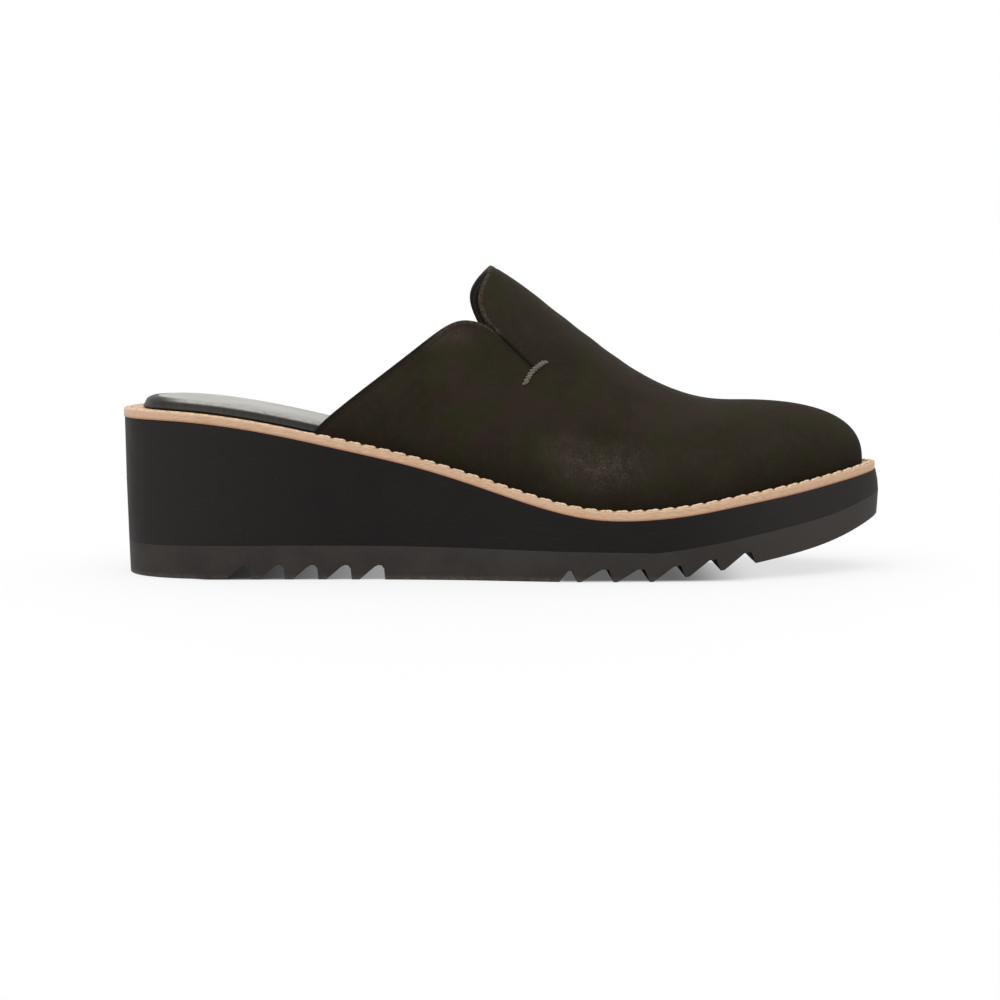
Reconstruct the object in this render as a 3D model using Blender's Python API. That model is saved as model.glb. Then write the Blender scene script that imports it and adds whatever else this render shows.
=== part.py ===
"""A right-foot wedge mule: a one-piece leather upper with a raised tab, on a stitched welt and a wedge sole.

Metres. +X runs to the toe, +Y to the inner side of the foot and +Z up. The origin is on the floor, under
the middle of the sole. Tables hold shares: "along" is a share of the sole's length from the heel, and each
other column is a share of the size that its heading names.
"""

import math

import bmesh
import bpy
import numpy as np

MM = 0.001

# The sole, from the floor up
LENGTH = 263.4 * MM
HEEL_WIDTH = 67.0 * MM
BALL_WIDTH = 88.4 * MM
HEEL_HEIGHT = 56.8 * MM
FOREFOOT_HEIGHT = 23.5 * MM
TOE_HEIGHT = 37.6 * MM
TOE_SPRING = 19.2 * MM
OUTSOLE_THICKNESS = 10.8 * MM
WELT_THICKNESS = 3.0 * MM
WELT_WIDTH = 10.4 * MM
WELT_EDGE_ROUNDING = 0.5 * MM

# The sole's walls lean: how far each level lies inside the widest outline, at the heel and at the toe
WELT_INSET = (0.4 * MM, 1.3 * MM)
MIDSOLE_TOP_INSET = (0.7 * MM, 1.0 * MM)
MIDSOLE_SWELL_INSET = (1.1 * MM, 0.3 * MM)
MIDSOLE_FOOT_INSET = (1.8 * MM, 0.0 * MM)
OUTSOLE_TOP_INSET = (1.8 * MM, 0.0 * MM)
OUTSOLE_FOOT_INSET = (2.2 * MM, 0.5 * MM)

# The tread, its first notch and first tooth measured from the heel
NOTCH_COUNT = 5
NOTCH_PITCH = 11.3 * MM
NOTCH_LENGTH = 8.7 * MM
NOTCH_DEPTH = 5.0 * MM
FIRST_NOTCH = 36.6 * MM
TOOTH_COUNT = 6
TOOTH_PITCH = 12.2 * MM
TOOTH_LAND = 1.2 * MM
TOOTH_DEPTH = 4.3 * MM
FIRST_TOOTH = 155.6 * MM
LEAD_GAP_LENGTH = 6.0 * MM

# The insole
INSOLE_THICKNESS = 3.8 * MM
INSOLE_CROWN = 0.5 * MM
INSOLE_EDGE_ROUNDING = 1.1 * MM
INSOLE_SHOULDER = 4.4 * MM
INSOLE_HEEL_SLOPE = 2.6 * MM

# The upper
WELT_LEDGE = 4.4 * MM
UPPER_WALL = 1.9 * MM
INSTEP_HEIGHT = 72.7 * MM
TOE_CAP_LENGTH = 46.0 * MM
LEAN_START = 161.0 * MM
SIDE_SWELL = 5.0 * MM
QUARTER_MARGIN = 6.0 * MM
SLIT_WIDTH = 0.7 * MM
TOPLINE_SPREAD = 0.63 * BALL_WIDTH
INNER_SHIFT = 5.0 * MM
INNER_DROP = 2.2 * MM

SEAT_GAP = 0.3 * MM

# How finely the curved faces are divided, and the angle from which an edge is a real one
SOLE_STATIONS = 52
LOOP_SAMPLES = 900
RIBS = 40
RIB_STEPS = 13
EDGE_STEPS = 18
SHARP_ANGLE = math.radians(35)


def table(columns, rows):
    """The rows' values by column name."""
    return dict(zip(columns.split(), np.array(rows, float).T))


# Seen from above. "ball" blends the heel's width into the ball's; "outer" and "inner" are shares of it.
PLAN = table("along ball outer inner", [
    (0.02, 0.00, 0.276, 0.276),
    (0.05, 0.00, 0.388, 0.388),
    (0.12, 0.00, 0.482, 0.480),
    (0.20, 0.00, 0.500, 0.493),
    (0.32, 0.10, 0.499, 0.456),
    (0.45, 0.45, 0.496, 0.424),
    (0.56, 0.85, 0.511, 0.446),
    (0.64, 1.00, 0.509, 0.475),
    (0.72, 1.00, 0.492, 0.490),
    (0.80, 1.00, 0.436, 0.458),
    (0.88, 1.00, 0.334, 0.379),
    (0.94, 1.00, 0.209, 0.283),
    (0.98, 1.00, 0.096, 0.187),
])
TOE_POINT = 0.055

# The welt's top: "heel" is a share of the heel's rise above the forefoot, "toe" of the toe's rise above it.
WELT_LINE = table("along heel toe", [
    (0.00, 1.000, 0.000),
    (0.08, 0.988, 0.000),
    (0.19, 0.874, 0.000),
    (0.29, 0.703, 0.000),
    (0.39, 0.514, 0.000),
    (0.48, 0.291, 0.000),
    (0.56, 0.093, 0.000),
    (0.60, 0.026, 0.000),
    (0.64, 0.000, 0.000),
    (0.68, 0.000, 0.016),
    (0.73, 0.000, 0.100),
    (0.80, 0.000, 0.312),
    (0.88, 0.000, 0.567),
    (0.95, 0.000, 0.816),
    (1.00, 0.000, 1.000),
])

# The outsole's underside is flat up to the first row. "spring" is a share of the toe's spring.
SPRING = table("along spring", [
    (0.69, 0.000),
    (0.73, 0.078),
    (0.78, 0.185),
    (0.84, 0.330),
    (0.89, 0.465),
    (0.94, 0.655),
    (0.975, 0.850),
    (1.00, 1.000),
])

# "thickness" is a share of the outsole's thickness.
OUTSOLE_BODY = table("along thickness", [
    (0.00, 1.00),
    (0.45, 1.00),
    (0.57, 0.93),
    (0.65, 0.90),
    (0.74, 0.85),
    (0.83, 0.87),
    (0.92, 0.84),
    (1.00, 0.72),
])

# Gaps in the tread seen from the side, as shares of each gap's length and depth
NOTCH_SHAPE = table("length depth", [
    (0.00, 0.00),
    (0.59, 0.88),
    (0.73, 1.00),
    (0.86, 0.97),
    (0.96, 0.75),
    (1.00, 0.00),
])
TOOTH_GAP_SHAPE = table("length depth", [
    (0.00, 0.00),
    (0.63, 1.00),
    (0.85, 1.00),
    (1.00, 0.00),
])
LEAD_GAP_SHAPE = table("length depth", [
    (0.00, 0.00),
    (0.50, 0.90),
    (0.73, 0.90),
    (1.00, 0.00),
])

# The last, by the ridge of the upper: "rise" is the ridge's height above the welt as a share of the instep's,
# "ridge" its shift to the inner side as a share of the ball's width.
RIDGE = table("along rise ridge", [
    (0.20, 0.930, 0.010),
    (0.35, 0.995, 0.012),
    (0.43, 1.012, 0.015),
    (0.485, 0.998, 0.018),
    (0.525, 0.954, 0.022),
    (0.565, 0.885, 0.028),
    (0.605, 0.803, 0.034),
    (0.645, 0.703, 0.040),
    (0.685, 0.602, 0.046),
    (0.725, 0.517, 0.050),
    (0.765, 0.452, 0.052),
    (0.825, 0.413, 0.055),
])

# Cross-sections of the last by the place of their foot: "outer_full" and "inner_full" are the powers of the
# two half arches, 2 being an ellipse; "outer_swell" and "inner_swell" are shares of the side's swell.
SECTIONS = table("along outer_full inner_full outer_swell inner_swell", [
    (0.20, 2.60, 2.65, 0.50, 0.60),
    (0.35, 2.70, 2.75, 0.60, 0.80),
    (0.45, 2.70, 2.80, 0.60, 0.90),
    (0.55, 2.40, 2.55, 0.50, 0.70),
    (0.65, 2.08, 2.25, 0.40, 0.40),
    (0.75, 2.00, 2.20, 0.30, 0.30),
    (0.85, 2.15, 2.35, 0.20, 0.20),
    (0.93, 2.40, 2.52, 0.10, 0.10),
    (1.00, 2.58, 2.58, 0.00, 0.00),
])

# Edges of the opening seen from the outer side: "rise" is the height above the welt as a share of the
# instep's. The inner side's edge lies further forward by a share of the inner shift, and lower by a share of
# the inner drop.
QUARTER_EDGE = table("along rise forward lower", [
    (0.2460, -0.030, 1.00, 0.00),
    (0.2555, 0.019, 1.00, 0.00),
    (0.2855, 0.143, 1.00, 0.00),
    (0.3360, 0.328, 1.00, 0.00),
    (0.3850, 0.510, 0.95, 0.20),
    (0.4100, 0.606, 0.80, 0.50),
    (0.4280, 0.667, 0.55, 0.80),
    (0.4420, 0.699, 0.25, 1.00),
    (0.4560, 0.714, -0.10, 1.00),
    (0.4670, 0.717, -0.30, 1.00),
    (0.4760, 0.714, -0.45, 1.00),
    (0.4830, 0.702, -0.45, 1.00),
])
SLIT_END = (0.5370, 0.582, -0.45, 1.00)
TAB_EDGE = table("along rise forward lower", [
    (0.4855, 0.708, -0.45, 1.00),
    (0.4770, 0.734, -0.35, 0.65),
    (0.4710, 0.765, -0.36, 0.30),
    (0.4675, 0.803, -0.40, 0.10),
    (0.4670, 0.840, -0.42, 0.00),
    (0.4710, 0.896, -0.40, 0.00),
    (0.4840, 0.990, -0.20, 0.00),
    (0.4950, 1.065, 0.00, 0.00),
])


def smooth(knots, values):
    """A natural cubic curve through the values, as a function of the knots' quantity."""
    gap = np.diff(knots)
    slope = np.diff(values) / gap
    system = np.eye(len(knots))
    bend = np.zeros(len(knots))
    for i in range(1, len(knots) - 1):
        system[i, i - 1:i + 2] = gap[i - 1], 2 * (gap[i - 1] + gap[i]), gap[i]
        bend[i] = 6 * (slope[i] - slope[i - 1])
    return cubic_pieces(knots, values, np.linalg.solve(system, bend))


def smooth_closed(knots, values):
    """The same through values that end where they begin."""
    gap = np.diff(knots)
    slope = np.diff(values) / gap
    last = len(gap)
    system = np.zeros((last, last))
    bend = np.zeros(last)
    for i in range(last):
        system[i, i] = 2 * (gap[i - 1] + gap[i])
        system[i, i - 1] += gap[i - 1]
        system[i, (i + 1) % last] += gap[i]
        bend[i] = 6 * (slope[i] - slope[i - 1])
    second = np.linalg.solve(system, bend)
    return cubic_pieces(knots, values, np.append(second, second[0]))


def cubic_pieces(knots, values, second):
    """The piecewise cubic with these values and second derivatives at the knots."""
    def at(where):
        where = np.clip(where, knots[0], knots[-1])
        i = np.clip(np.searchsorted(knots, where) - 1, 0, len(knots) - 2)
        gap = knots[i + 1] - knots[i]
        a = (knots[i + 1] - where) / gap
        b = 1 - a
        bent = (a ** 3 - a) * second[i] + (b ** 3 - b) * second[i + 1]
        return a * values[i] + b * values[i + 1] + bent * gap ** 2 / 6
    return at


def to_x(along):
    return LENGTH * (along - 0.5)


def to_along(x):
    return x / LENGTH + 0.5


welt_rise = smooth(
    WELT_LINE["along"],
    (HEEL_HEIGHT - FOREFOOT_HEIGHT) * WELT_LINE["heel"] + (TOE_HEIGHT - FOREFOOT_HEIGHT) * WELT_LINE["toe"],
)
spring_rise = smooth(SPRING["along"], TOE_SPRING * SPRING["spring"])
outsole_body = smooth(OUTSOLE_BODY["along"], OUTSOLE_THICKNESS * OUTSOLE_BODY["thickness"])
ridge_rise = smooth(RIDGE["along"], INSTEP_HEIGHT * RIDGE["rise"])
ridge_shift = smooth(RIDGE["along"], BALL_WIDTH * RIDGE["ridge"])


def welt_top(x):
    return FOREFOOT_HEIGHT + welt_rise(to_along(x))


def midsole_top(x):
    return welt_top(x) - WELT_THICKNESS - SEAT_GAP


def outsole_bottom(x):
    return np.where(to_along(x) <= SPRING["along"][0], 0.0, spring_rise(to_along(x)))


def outsole_top(x):
    return outsole_bottom(x) + outsole_body(to_along(x))


def midsole_bottom(x):
    return outsole_top(x) + SEAT_GAP


def midsole_middle(x):
    return (midsole_top(x) + midsole_bottom(x)) / 2


def raised(height, by):
    """The height function, higher by this much."""
    return lambda x: height(x) + by


def plan_loop():
    """The widest outline from above: a dense closed loop, the outer side first, and its normals."""
    width = HEEL_WIDTH + (BALL_WIDTH - HEEL_WIDTH) * PLAN["ball"]
    outer = np.column_stack([to_x(PLAN["along"]), -width * PLAN["outer"]])
    inner = np.column_stack([to_x(PLAN["along"]), width * PLAN["inner"]])
    heel = [[to_x(0.0), 0.0]]
    toe = [[to_x(1.0), BALL_WIDTH * TOE_POINT]]
    points = np.vstack([heel, outer, toe, inner[::-1], heel])
    knots = np.append(0, np.cumsum(np.hypot(*np.diff(points, axis=0).T)))
    where = np.linspace(0, knots[-1], LOOP_SAMPLES, endpoint=False)
    x = smooth_closed(knots, points[:, 0])(where)
    y = smooth_closed(knots, points[:, 1])(where)
    x *= LENGTH / (x.max() - x.min())
    x -= (x.max() + x.min()) / 2
    y -= (y.max() + y.min()) / 2
    tangent_x = np.roll(x, -1) - np.roll(x, 1)
    tangent_y = np.roll(y, -1) - np.roll(y, 1)
    size = np.hypot(tangent_x, tangent_y)
    return x, y, tangent_y / size, -tangent_x / size


LOOP = plan_loop()


def outline(inset):
    """The outline moved inwards: its x at heel and toe, and both sides' y as functions of x."""
    x, y, normal_x, normal_y = LOOP
    heel, toe = inset
    depth = heel + (toe - heel) * to_along(x)
    x = x - normal_x * depth
    y = y - normal_y * depth
    start = int(np.argmin(x))
    x = np.roll(x, -start)
    y = np.roll(y, -start)
    tip = int(np.argmax(x))
    outer_x, outer_y = x[:tip + 1], y[:tip + 1]
    inner_x, inner_y = np.append(x[tip:], x[0])[::-1], np.append(y[tip:], y[0])[::-1]
    return (
        x[0],
        x[tip],
        lambda at: np.interp(at, outer_x, outer_y),
        lambda at: np.interp(at, inner_x, inner_y),
    )


def deeper(inset, by, at_heel=0.0):
    """The inset, further in by this much all round and by at_heel more at the heel."""
    return inset[0] + by + at_heel, inset[1] + by


def ring(inset, height):
    """A closed ring of points at the inset, from the heel along the outer side to the toe and back."""
    heel, toe, outer, inner = outline(inset)
    turn = np.cos(np.linspace(0, math.pi, SOLE_STATIONS + 1))
    x = (heel + toe) / 2 - (toe - heel) / 2 * turn
    back = slice(SOLE_STATIONS - 1, 0, -1)
    outer_side = np.column_stack([x, outer(x), height(x)])
    inner_side = np.column_stack([x, inner(x), height(x)])
    return np.vstack([outer_side, inner_side[back]])


def material(name, colour, roughness):
    """A plain material for the piece, its colour given as sRGB values from 0 to 255."""
    made = bpy.data.materials.new(name)
    made.use_nodes = True
    shader = made.node_tree.nodes["Principled BSDF"]
    linear = [((c / 255 + 0.055) / 1.055) ** 2.4 if c > 10 else c / 255 / 12.92 for c in colour]
    shader.inputs["Base Color"].default_value = (*linear, 1.0)
    shader.inputs["Roughness"].default_value = roughness
    shader.inputs["Metallic"].default_value = 0.0
    made.diffuse_color = (*linear, 1.0)
    return made


def add_object(name, points, faces, finish=None):
    """A mesh object of these points and faces, smooth apart from its real edges."""
    mesh = bpy.data.meshes.new(name)
    mesh.from_pydata([tuple(map(float, p)) for p in points], [], [tuple(map(int, f)) for f in faces])
    shape = bmesh.new()
    shape.from_mesh(mesh)
    bmesh.ops.recalc_face_normals(shape, faces=shape.faces)
    shape.to_mesh(mesh)
    shape.free()
    mesh.shade_smooth()
    mesh.set_sharp_from_angle(angle=SHARP_ANGLE)
    made = bpy.data.objects.new(name, mesh)
    bpy.context.scene.collection.objects.link(made)
    if finish:
        mesh.materials.append(finish)
    return made


def bridge(first, second, count):
    """Quads between two rings of the object's points, by the index where each starts."""
    return [
        (first + i, first + (i + 1) % count, second + (i + 1) % count, second + i)
        for i in range(count)
    ]


def cap(start, count):
    """Faces across a ring, each from the outer side to the point opposite it on the inner side."""
    half = count // 2
    other = [start + (count - i) % count for i in range(half + 1)]
    faces = [(start, start + 1, other[1])]
    faces += [(start + i, start + i + 1, other[i + 1], other[i]) for i in range(1, half - 1)]
    faces.append((start + half - 1, start + half, other[half - 1]))
    return faces


def stack(name, rings, finish, capped=True):
    """A solid through rings listed from its underside up; without caps the last ring joins the first."""
    count = len(rings[0])
    faces = []
    for i in range(len(rings) - 1):
        faces += bridge(i * count, (i + 1) * count, count)
    if capped:
        faces += [tuple(reversed(face)) for face in cap(0, count)]
        faces += cap((len(rings) - 1) * count, count)
    else:
        faces += bridge((len(rings) - 1) * count, 0, count)
    return add_object(name, np.vstack(rings), faces, finish)


def cutter(name, prisms):
    """A hidden object of bars across the shoe.

    Each bar is ruled from an outer to an inner outline in the side view, with as many (x, z) points, which
    hold where the two sides of the upper's opening are.
    """
    points = []
    faces = []
    reach = BALL_WIDTH / 2 + QUARTER_MARGIN
    beyond = (reach - TOPLINE_SPREAD / 2) / TOPLINE_SPREAD
    for bar in prisms:
        outer, inner = np.array(bar)
        start = len(points)
        count = len(outer)
        spread = (inner - outer) * beyond
        points += [(x, -reach, z) for x, z in outer - spread]
        points += [(x, reach, z) for x, z in inner + spread]
        faces += bridge(start, start + count, count)
        faces.append(tuple(range(start, start + count)))
        faces.append(tuple(range(start + 2 * count - 1, start + count - 1, -1)))
    made = add_object(name, points, faces)
    made.hide_render = True
    made.display_type = "WIRE"
    return made


def cut(target, tool):
    change = target.modifiers.new("cut_" + tool.name, "BOOLEAN")
    change.operation = "DIFFERENCE"
    change.solver = "EXACT"
    change.object = tool


def gap_outline(start, length, depth, shape):
    """A gap in the tread seen from the side, from below the outsole up into it."""
    x = start + length * shape["length"]
    z = outsole_bottom(x) + depth * shape["depth"]
    return [(x[0], z[0] - depth)] + list(zip(x, z)) + [(x[-1], z[-1] - depth)]


def tread_gaps():
    """The side views of the heel's notches and of the gaps before and between the forefoot's teeth."""
    heel = to_x(0.0)
    gaps = []
    for i in range(NOTCH_COUNT):
        gaps.append(gap_outline(heel + FIRST_NOTCH + i * NOTCH_PITCH, NOTCH_LENGTH, NOTCH_DEPTH, NOTCH_SHAPE))
    first_land = heel + FIRST_TOOTH - TOOTH_LAND / 2
    gaps.append(gap_outline(first_land - LEAD_GAP_LENGTH, LEAD_GAP_LENGTH, TOOTH_DEPTH, LEAD_GAP_SHAPE))
    for i in range(TOOTH_COUNT - 1):
        start = first_land + TOOTH_LAND + i * TOOTH_PITCH
        gaps.append(gap_outline(start, TOOTH_PITCH - TOOTH_LAND, TOOTH_DEPTH, TOOTH_GAP_SHAPE))
    return gaps


def make_outsole():
    outsole = stack(
        "outsole",
        [ring(OUTSOLE_FOOT_INSET, outsole_bottom), ring(OUTSOLE_TOP_INSET, outsole_top)],
        material("outsole_rubber", (54, 51, 49), 0.62),
    )
    cut(outsole, cutter("tread", [(gap, gap) for gap in tread_gaps()]))


def make_midsole():
    """The wedge; its top is raised inside the welt, which lies in the rebate around it."""
    plateau = deeper(WELT_INSET, WELT_WIDTH + SEAT_GAP)
    stack(
        "midsole",
        [
            ring(MIDSOLE_FOOT_INSET, midsole_bottom),
            ring(MIDSOLE_SWELL_INSET, midsole_middle),
            ring(MIDSOLE_TOP_INSET, midsole_top),
            ring(plateau, midsole_top),
            ring(plateau, welt_top),
        ],
        material("midsole_foam", (38, 36, 34), 0.75),
    )


def make_welt():
    under = raised(welt_top, -WELT_THICKNESS)
    inner_edge = deeper(WELT_INSET, WELT_WIDTH)
    rounded = deeper(WELT_INSET, WELT_EDGE_ROUNDING)
    stack(
        "welt",
        [
            ring(inner_edge, under),
            ring(rounded, under),
            ring(WELT_INSET, raised(under, WELT_EDGE_ROUNDING)),
            ring(WELT_INSET, raised(welt_top, -WELT_EDGE_ROUNDING)),
            ring(rounded, welt_top),
            ring(inner_edge, welt_top),
        ],
        material("welt_leather", (205, 166, 137), 0.6),
        capped=False,
    )


def make_insole():
    foot = deeper(WELT_INSET, WELT_LEDGE + UPPER_WALL + SEAT_GAP)
    shoulder = deeper(foot, INSOLE_EDGE_ROUNDING, INSOLE_HEEL_SLOPE)
    bottom = raised(welt_top, SEAT_GAP)
    top = raised(bottom, INSOLE_THICKNESS)
    stack(
        "insole",
        [
            ring(foot, bottom),
            ring(deeper(foot, 0.0, INSOLE_HEEL_SLOPE / 2), raised(top, -INSOLE_EDGE_ROUNDING)),
            ring(shoulder, top),
            ring(deeper(shoulder, INSOLE_SHOULDER), raised(top, INSOLE_CROWN)),
        ],
        material("insole_cover", (170, 168, 160), 0.7),
    )


def upper_ribs(wall):
    """The upper's outside, or with a wall its inside, as one row of points for each rib.

    A rib runs from the welt on the outer side over the ridge to the welt on the inner side. Towards the toe
    the ribs lean back more and more, and the last one lies along the middle of the toe.
    """
    _, tip, outer, inner = outline(deeper(WELT_INSET, WELT_LEDGE + wall))
    back = to_x(QUARTER_EDGE["along"][0]) - QUARTER_MARGIN
    foot_x = back + (tip - back) * np.sin(np.linspace(0, math.pi / 2, RIBS + 1))
    lean_start = to_x(0.0) + LEAN_START
    lean = np.clip((foot_x - lean_start) / (tip - lean_start), 0, 1) ** 2
    ridge_x = foot_x - (TOE_CAP_LENGTH - wall) * lean
    foot_z = welt_top(foot_x) + SEAT_GAP
    ridge_z = welt_top(ridge_x) + ridge_rise(to_along(ridge_x)) - wall
    ridge_y = ridge_shift(to_along(ridge_x))
    turn = np.linspace(0, math.pi / 2, RIB_STEPS + 1)
    sides = []
    for side, edge, sign in (("outer", outer, -1), ("inner", inner, 1)):
        full = smooth(SECTIONS["along"], SECTIONS[side + "_full"])
        swell = smooth(SECTIONS["along"], SIDE_SWELL * SECTIONS[side + "_swell"])
        share = foot_x / tip * to_x(1.0)
        power = 2 / full(to_along(share))[:, None]
        rise = np.sin(turn)[None, :] ** power
        across = 1 - np.abs(np.cos(turn))[None, :] ** power
        across[:, -1] = 1
        foot_y = edge(foot_x)
        x = foot_x[:, None] + (ridge_x - foot_x)[:, None] * across
        y = foot_y[:, None] + (ridge_y - foot_y)[:, None] * across
        y += sign * swell(to_along(share))[:, None] * np.sin(math.pi * rise)
        z = foot_z[:, None] + (ridge_z - foot_z)[:, None] * rise
        sides.append(np.stack([x, y, z], axis=-1))
    outer_side, inner_side = sides
    return np.concatenate([outer_side, inner_side[:, -2::-1]], axis=1)


def upper_shell():
    """Points and faces of the closed shell between the upper's outside and inside, before it is cut."""
    across = 2 * RIB_STEPS + 1
    points = []
    index = np.zeros((2, RIBS + 1, across), int)
    for layer, wall in enumerate((0.0, UPPER_WALL)):
        ribs = upper_ribs(wall)
        for i in range(RIBS):
            for j in range(across):
                index[layer, i, j] = len(points)
                points.append(ribs[i, j])
        for j in range(RIB_STEPS + 1):
            index[layer, RIBS, j] = index[layer, RIBS, across - 1 - j] = len(points)
            points.append(ribs[RIBS, j])
    faces = []
    outside, inside = index
    for i in range(RIBS):
        for j in range(across - 1):
            for sheet in (outside, inside):
                faces.append((sheet[i, j], sheet[i + 1, j], sheet[i + 1, j + 1], sheet[i, j + 1]))
        for j in (0, across - 1):
            faces.append((outside[i, j], outside[i + 1, j], inside[i + 1, j], inside[i, j]))
    for j in range(across - 1):
        faces.append((outside[0, j], outside[0, j + 1], inside[0, j + 1], inside[0, j]))
    return points, faces


def side_view(along, rise, forward, lower, side):
    """Where a place on the opening's edge lies in the side view, on the outer (0) or the inner side (1)."""
    x = to_x(along)
    z = welt_top(x) + INSTEP_HEIGHT * rise
    return x + side * INNER_SHIFT * forward, z - side * INNER_DROP * lower


def edge_points(edge, steps, side):
    run = np.hypot(np.diff(edge["along"]) * LENGTH, np.diff(edge["rise"]) * INSTEP_HEIGHT)
    knots = np.append(0, np.cumsum(run))
    where = np.linspace(0, knots[-1], steps + 1)
    columns = [smooth(knots, column)(where) for column in edge.values()]
    return list(zip(*side_view(*columns, side)))


def opening_outline(side):
    """What the opening takes away, seen from the side: all behind the quarter and the tab, and the slit."""
    quarter = edge_points(QUARTER_EDGE, EDGE_STEPS, side)
    tab = edge_points(TAB_EDGE, EDGE_STEPS, side)
    end_x, end_z = side_view(*SLIT_END, side)
    mouth_x, mouth_z = tab[0]
    run = math.hypot(end_x - mouth_x, end_z - mouth_z)
    side_x = (mouth_z - end_z) / run * SLIT_WIDTH
    side_z = (end_x - mouth_x) / run * SLIT_WIDTH
    above = HEEL_HEIGHT + 2 * INSTEP_HEIGHT
    behind = quarter[0][0] - 3 * QUARTER_MARGIN
    return (
        quarter
        + [(end_x - side_x, end_z - side_z), (end_x, end_z)]
        + tab
        + [(tab[-1][0], above), (behind, above), (behind, quarter[0][1])]
    )


def make_upper():
    points, faces = upper_shell()
    upper = add_object("upper", points, faces, material("upper_nubuck", (46, 41, 36), 0.72))
    cut(upper, cutter("opening", [(opening_outline(0), opening_outline(1))]))


def main():
    for old in list(bpy.data.objects):
        bpy.data.objects.remove(old, do_unlink=True)
    make_outsole()
    make_midsole()
    make_welt()
    make_insole()
    make_upper()


main()
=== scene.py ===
import math

import bmesh
import bpy
import numpy as np
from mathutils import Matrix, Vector
from mathutils.bvhtree import BVHTree
from mathutils.geometry import delaunay_2d_cdt


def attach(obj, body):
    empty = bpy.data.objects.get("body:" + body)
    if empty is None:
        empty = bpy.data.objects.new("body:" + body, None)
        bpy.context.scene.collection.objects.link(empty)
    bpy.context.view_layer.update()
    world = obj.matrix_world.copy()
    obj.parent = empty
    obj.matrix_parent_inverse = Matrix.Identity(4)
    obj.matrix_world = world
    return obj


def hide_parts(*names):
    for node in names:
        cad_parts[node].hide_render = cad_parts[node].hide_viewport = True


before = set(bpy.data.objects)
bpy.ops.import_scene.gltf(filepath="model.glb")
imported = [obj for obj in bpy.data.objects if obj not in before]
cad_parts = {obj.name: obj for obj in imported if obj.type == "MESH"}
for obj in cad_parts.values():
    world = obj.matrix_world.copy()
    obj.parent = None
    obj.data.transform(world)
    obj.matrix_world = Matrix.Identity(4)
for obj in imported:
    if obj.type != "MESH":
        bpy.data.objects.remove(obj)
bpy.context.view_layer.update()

MM = 0.001

# The sole, from the floor up
LENGTH = 263.4 * MM
HEEL_WIDTH = 67.0 * MM
BALL_WIDTH = 88.4 * MM
HEEL_HEIGHT = 56.8 * MM
FOREFOOT_HEIGHT = 23.5 * MM
TOE_HEIGHT = 37.6 * MM
TOE_SPRING = 19.2 * MM
OUTSOLE_THICKNESS = 10.8 * MM
WELT_THICKNESS = 3.0 * MM
WELT_WIDTH = 10.4 * MM
WELT_EDGE_ROUNDING = 0.5 * MM

# The sole's walls lean: how far each level lies inside the widest outline, at the heel and at the toe
WELT_INSET = (0.4 * MM, 1.3 * MM)
MIDSOLE_TOP_INSET = (0.7 * MM, 1.0 * MM)
MIDSOLE_SWELL_INSET = (1.1 * MM, 0.3 * MM)
MIDSOLE_FOOT_INSET = (1.8 * MM, 0.0 * MM)
OUTSOLE_TOP_INSET = (1.8 * MM, 0.0 * MM)
OUTSOLE_FOOT_INSET = (2.2 * MM, 0.5 * MM)

# The tread, its first notch and first tooth measured from the heel
NOTCH_COUNT = 5
NOTCH_PITCH = 11.3 * MM
NOTCH_LENGTH = 8.7 * MM
NOTCH_DEPTH = 5.0 * MM
FIRST_NOTCH = 36.6 * MM
TOOTH_COUNT = 6
TOOTH_PITCH = 12.2 * MM
TOOTH_LAND = 1.2 * MM
TOOTH_DEPTH = 4.3 * MM
FIRST_TOOTH = 155.6 * MM
LEAD_GAP_LENGTH = 6.0 * MM

# The insole
INSOLE_THICKNESS = 3.8 * MM
INSOLE_EDGE_ROUNDING = 1.1 * MM
INSOLE_HEEL_SLOPE = 2.6 * MM
# Its cushion: how far in from the edge and how high above it, in millimetres
INSOLE_CROWN = ((1.6, 0.05), (2.0, 0.06), (2.4, 0.12), (3.4, 0.28), (5.0, 0.42), (8.0, 0.5))

# The upper
WELT_LEDGE = 4.4 * MM
UPPER_WALL = 1.9 * MM
INSTEP_HEIGHT = 72.7 * MM
TOE_CAP_LENGTH = 46.0 * MM
LEAN_START = 161.0 * MM
SIDE_SWELL = 5.0 * MM
QUARTER_MARGIN = 6.0 * MM
SLIT_WIDTH = 0.7 * MM
TOPLINE_SPREAD = 0.63 * BALL_WIDTH
INNER_SHIFT = 5.0 * MM
INNER_DROP = 2.2 * MM

SEAT_GAP = 0.3 * MM

# How finely the curved faces are divided
SOLE_STATIONS = 240
LOOP_SAMPLES = 3000
UPPER_RIBS = 260
UPPER_STEPS = 90
INSTEP_RIB = 40
EDGE_STEPS = 110
SLIT_STEPS = 26
FEATHER_STEPS = 220
TOE_POINTS = 161
RIM_STEPS = 5
PATTERN_PITCH = 1.15 * MM
# Rows of points beside the opening's edge, in millimetres from it
HEM_ROWS = (0.45, 0.9, 1.3, 1.7, 2.1, 2.6, 3.2)
# The share of the pattern's half width, about the ridge, where the tab's edge is found row by row
CROWN_SHARE = 0.30

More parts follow.
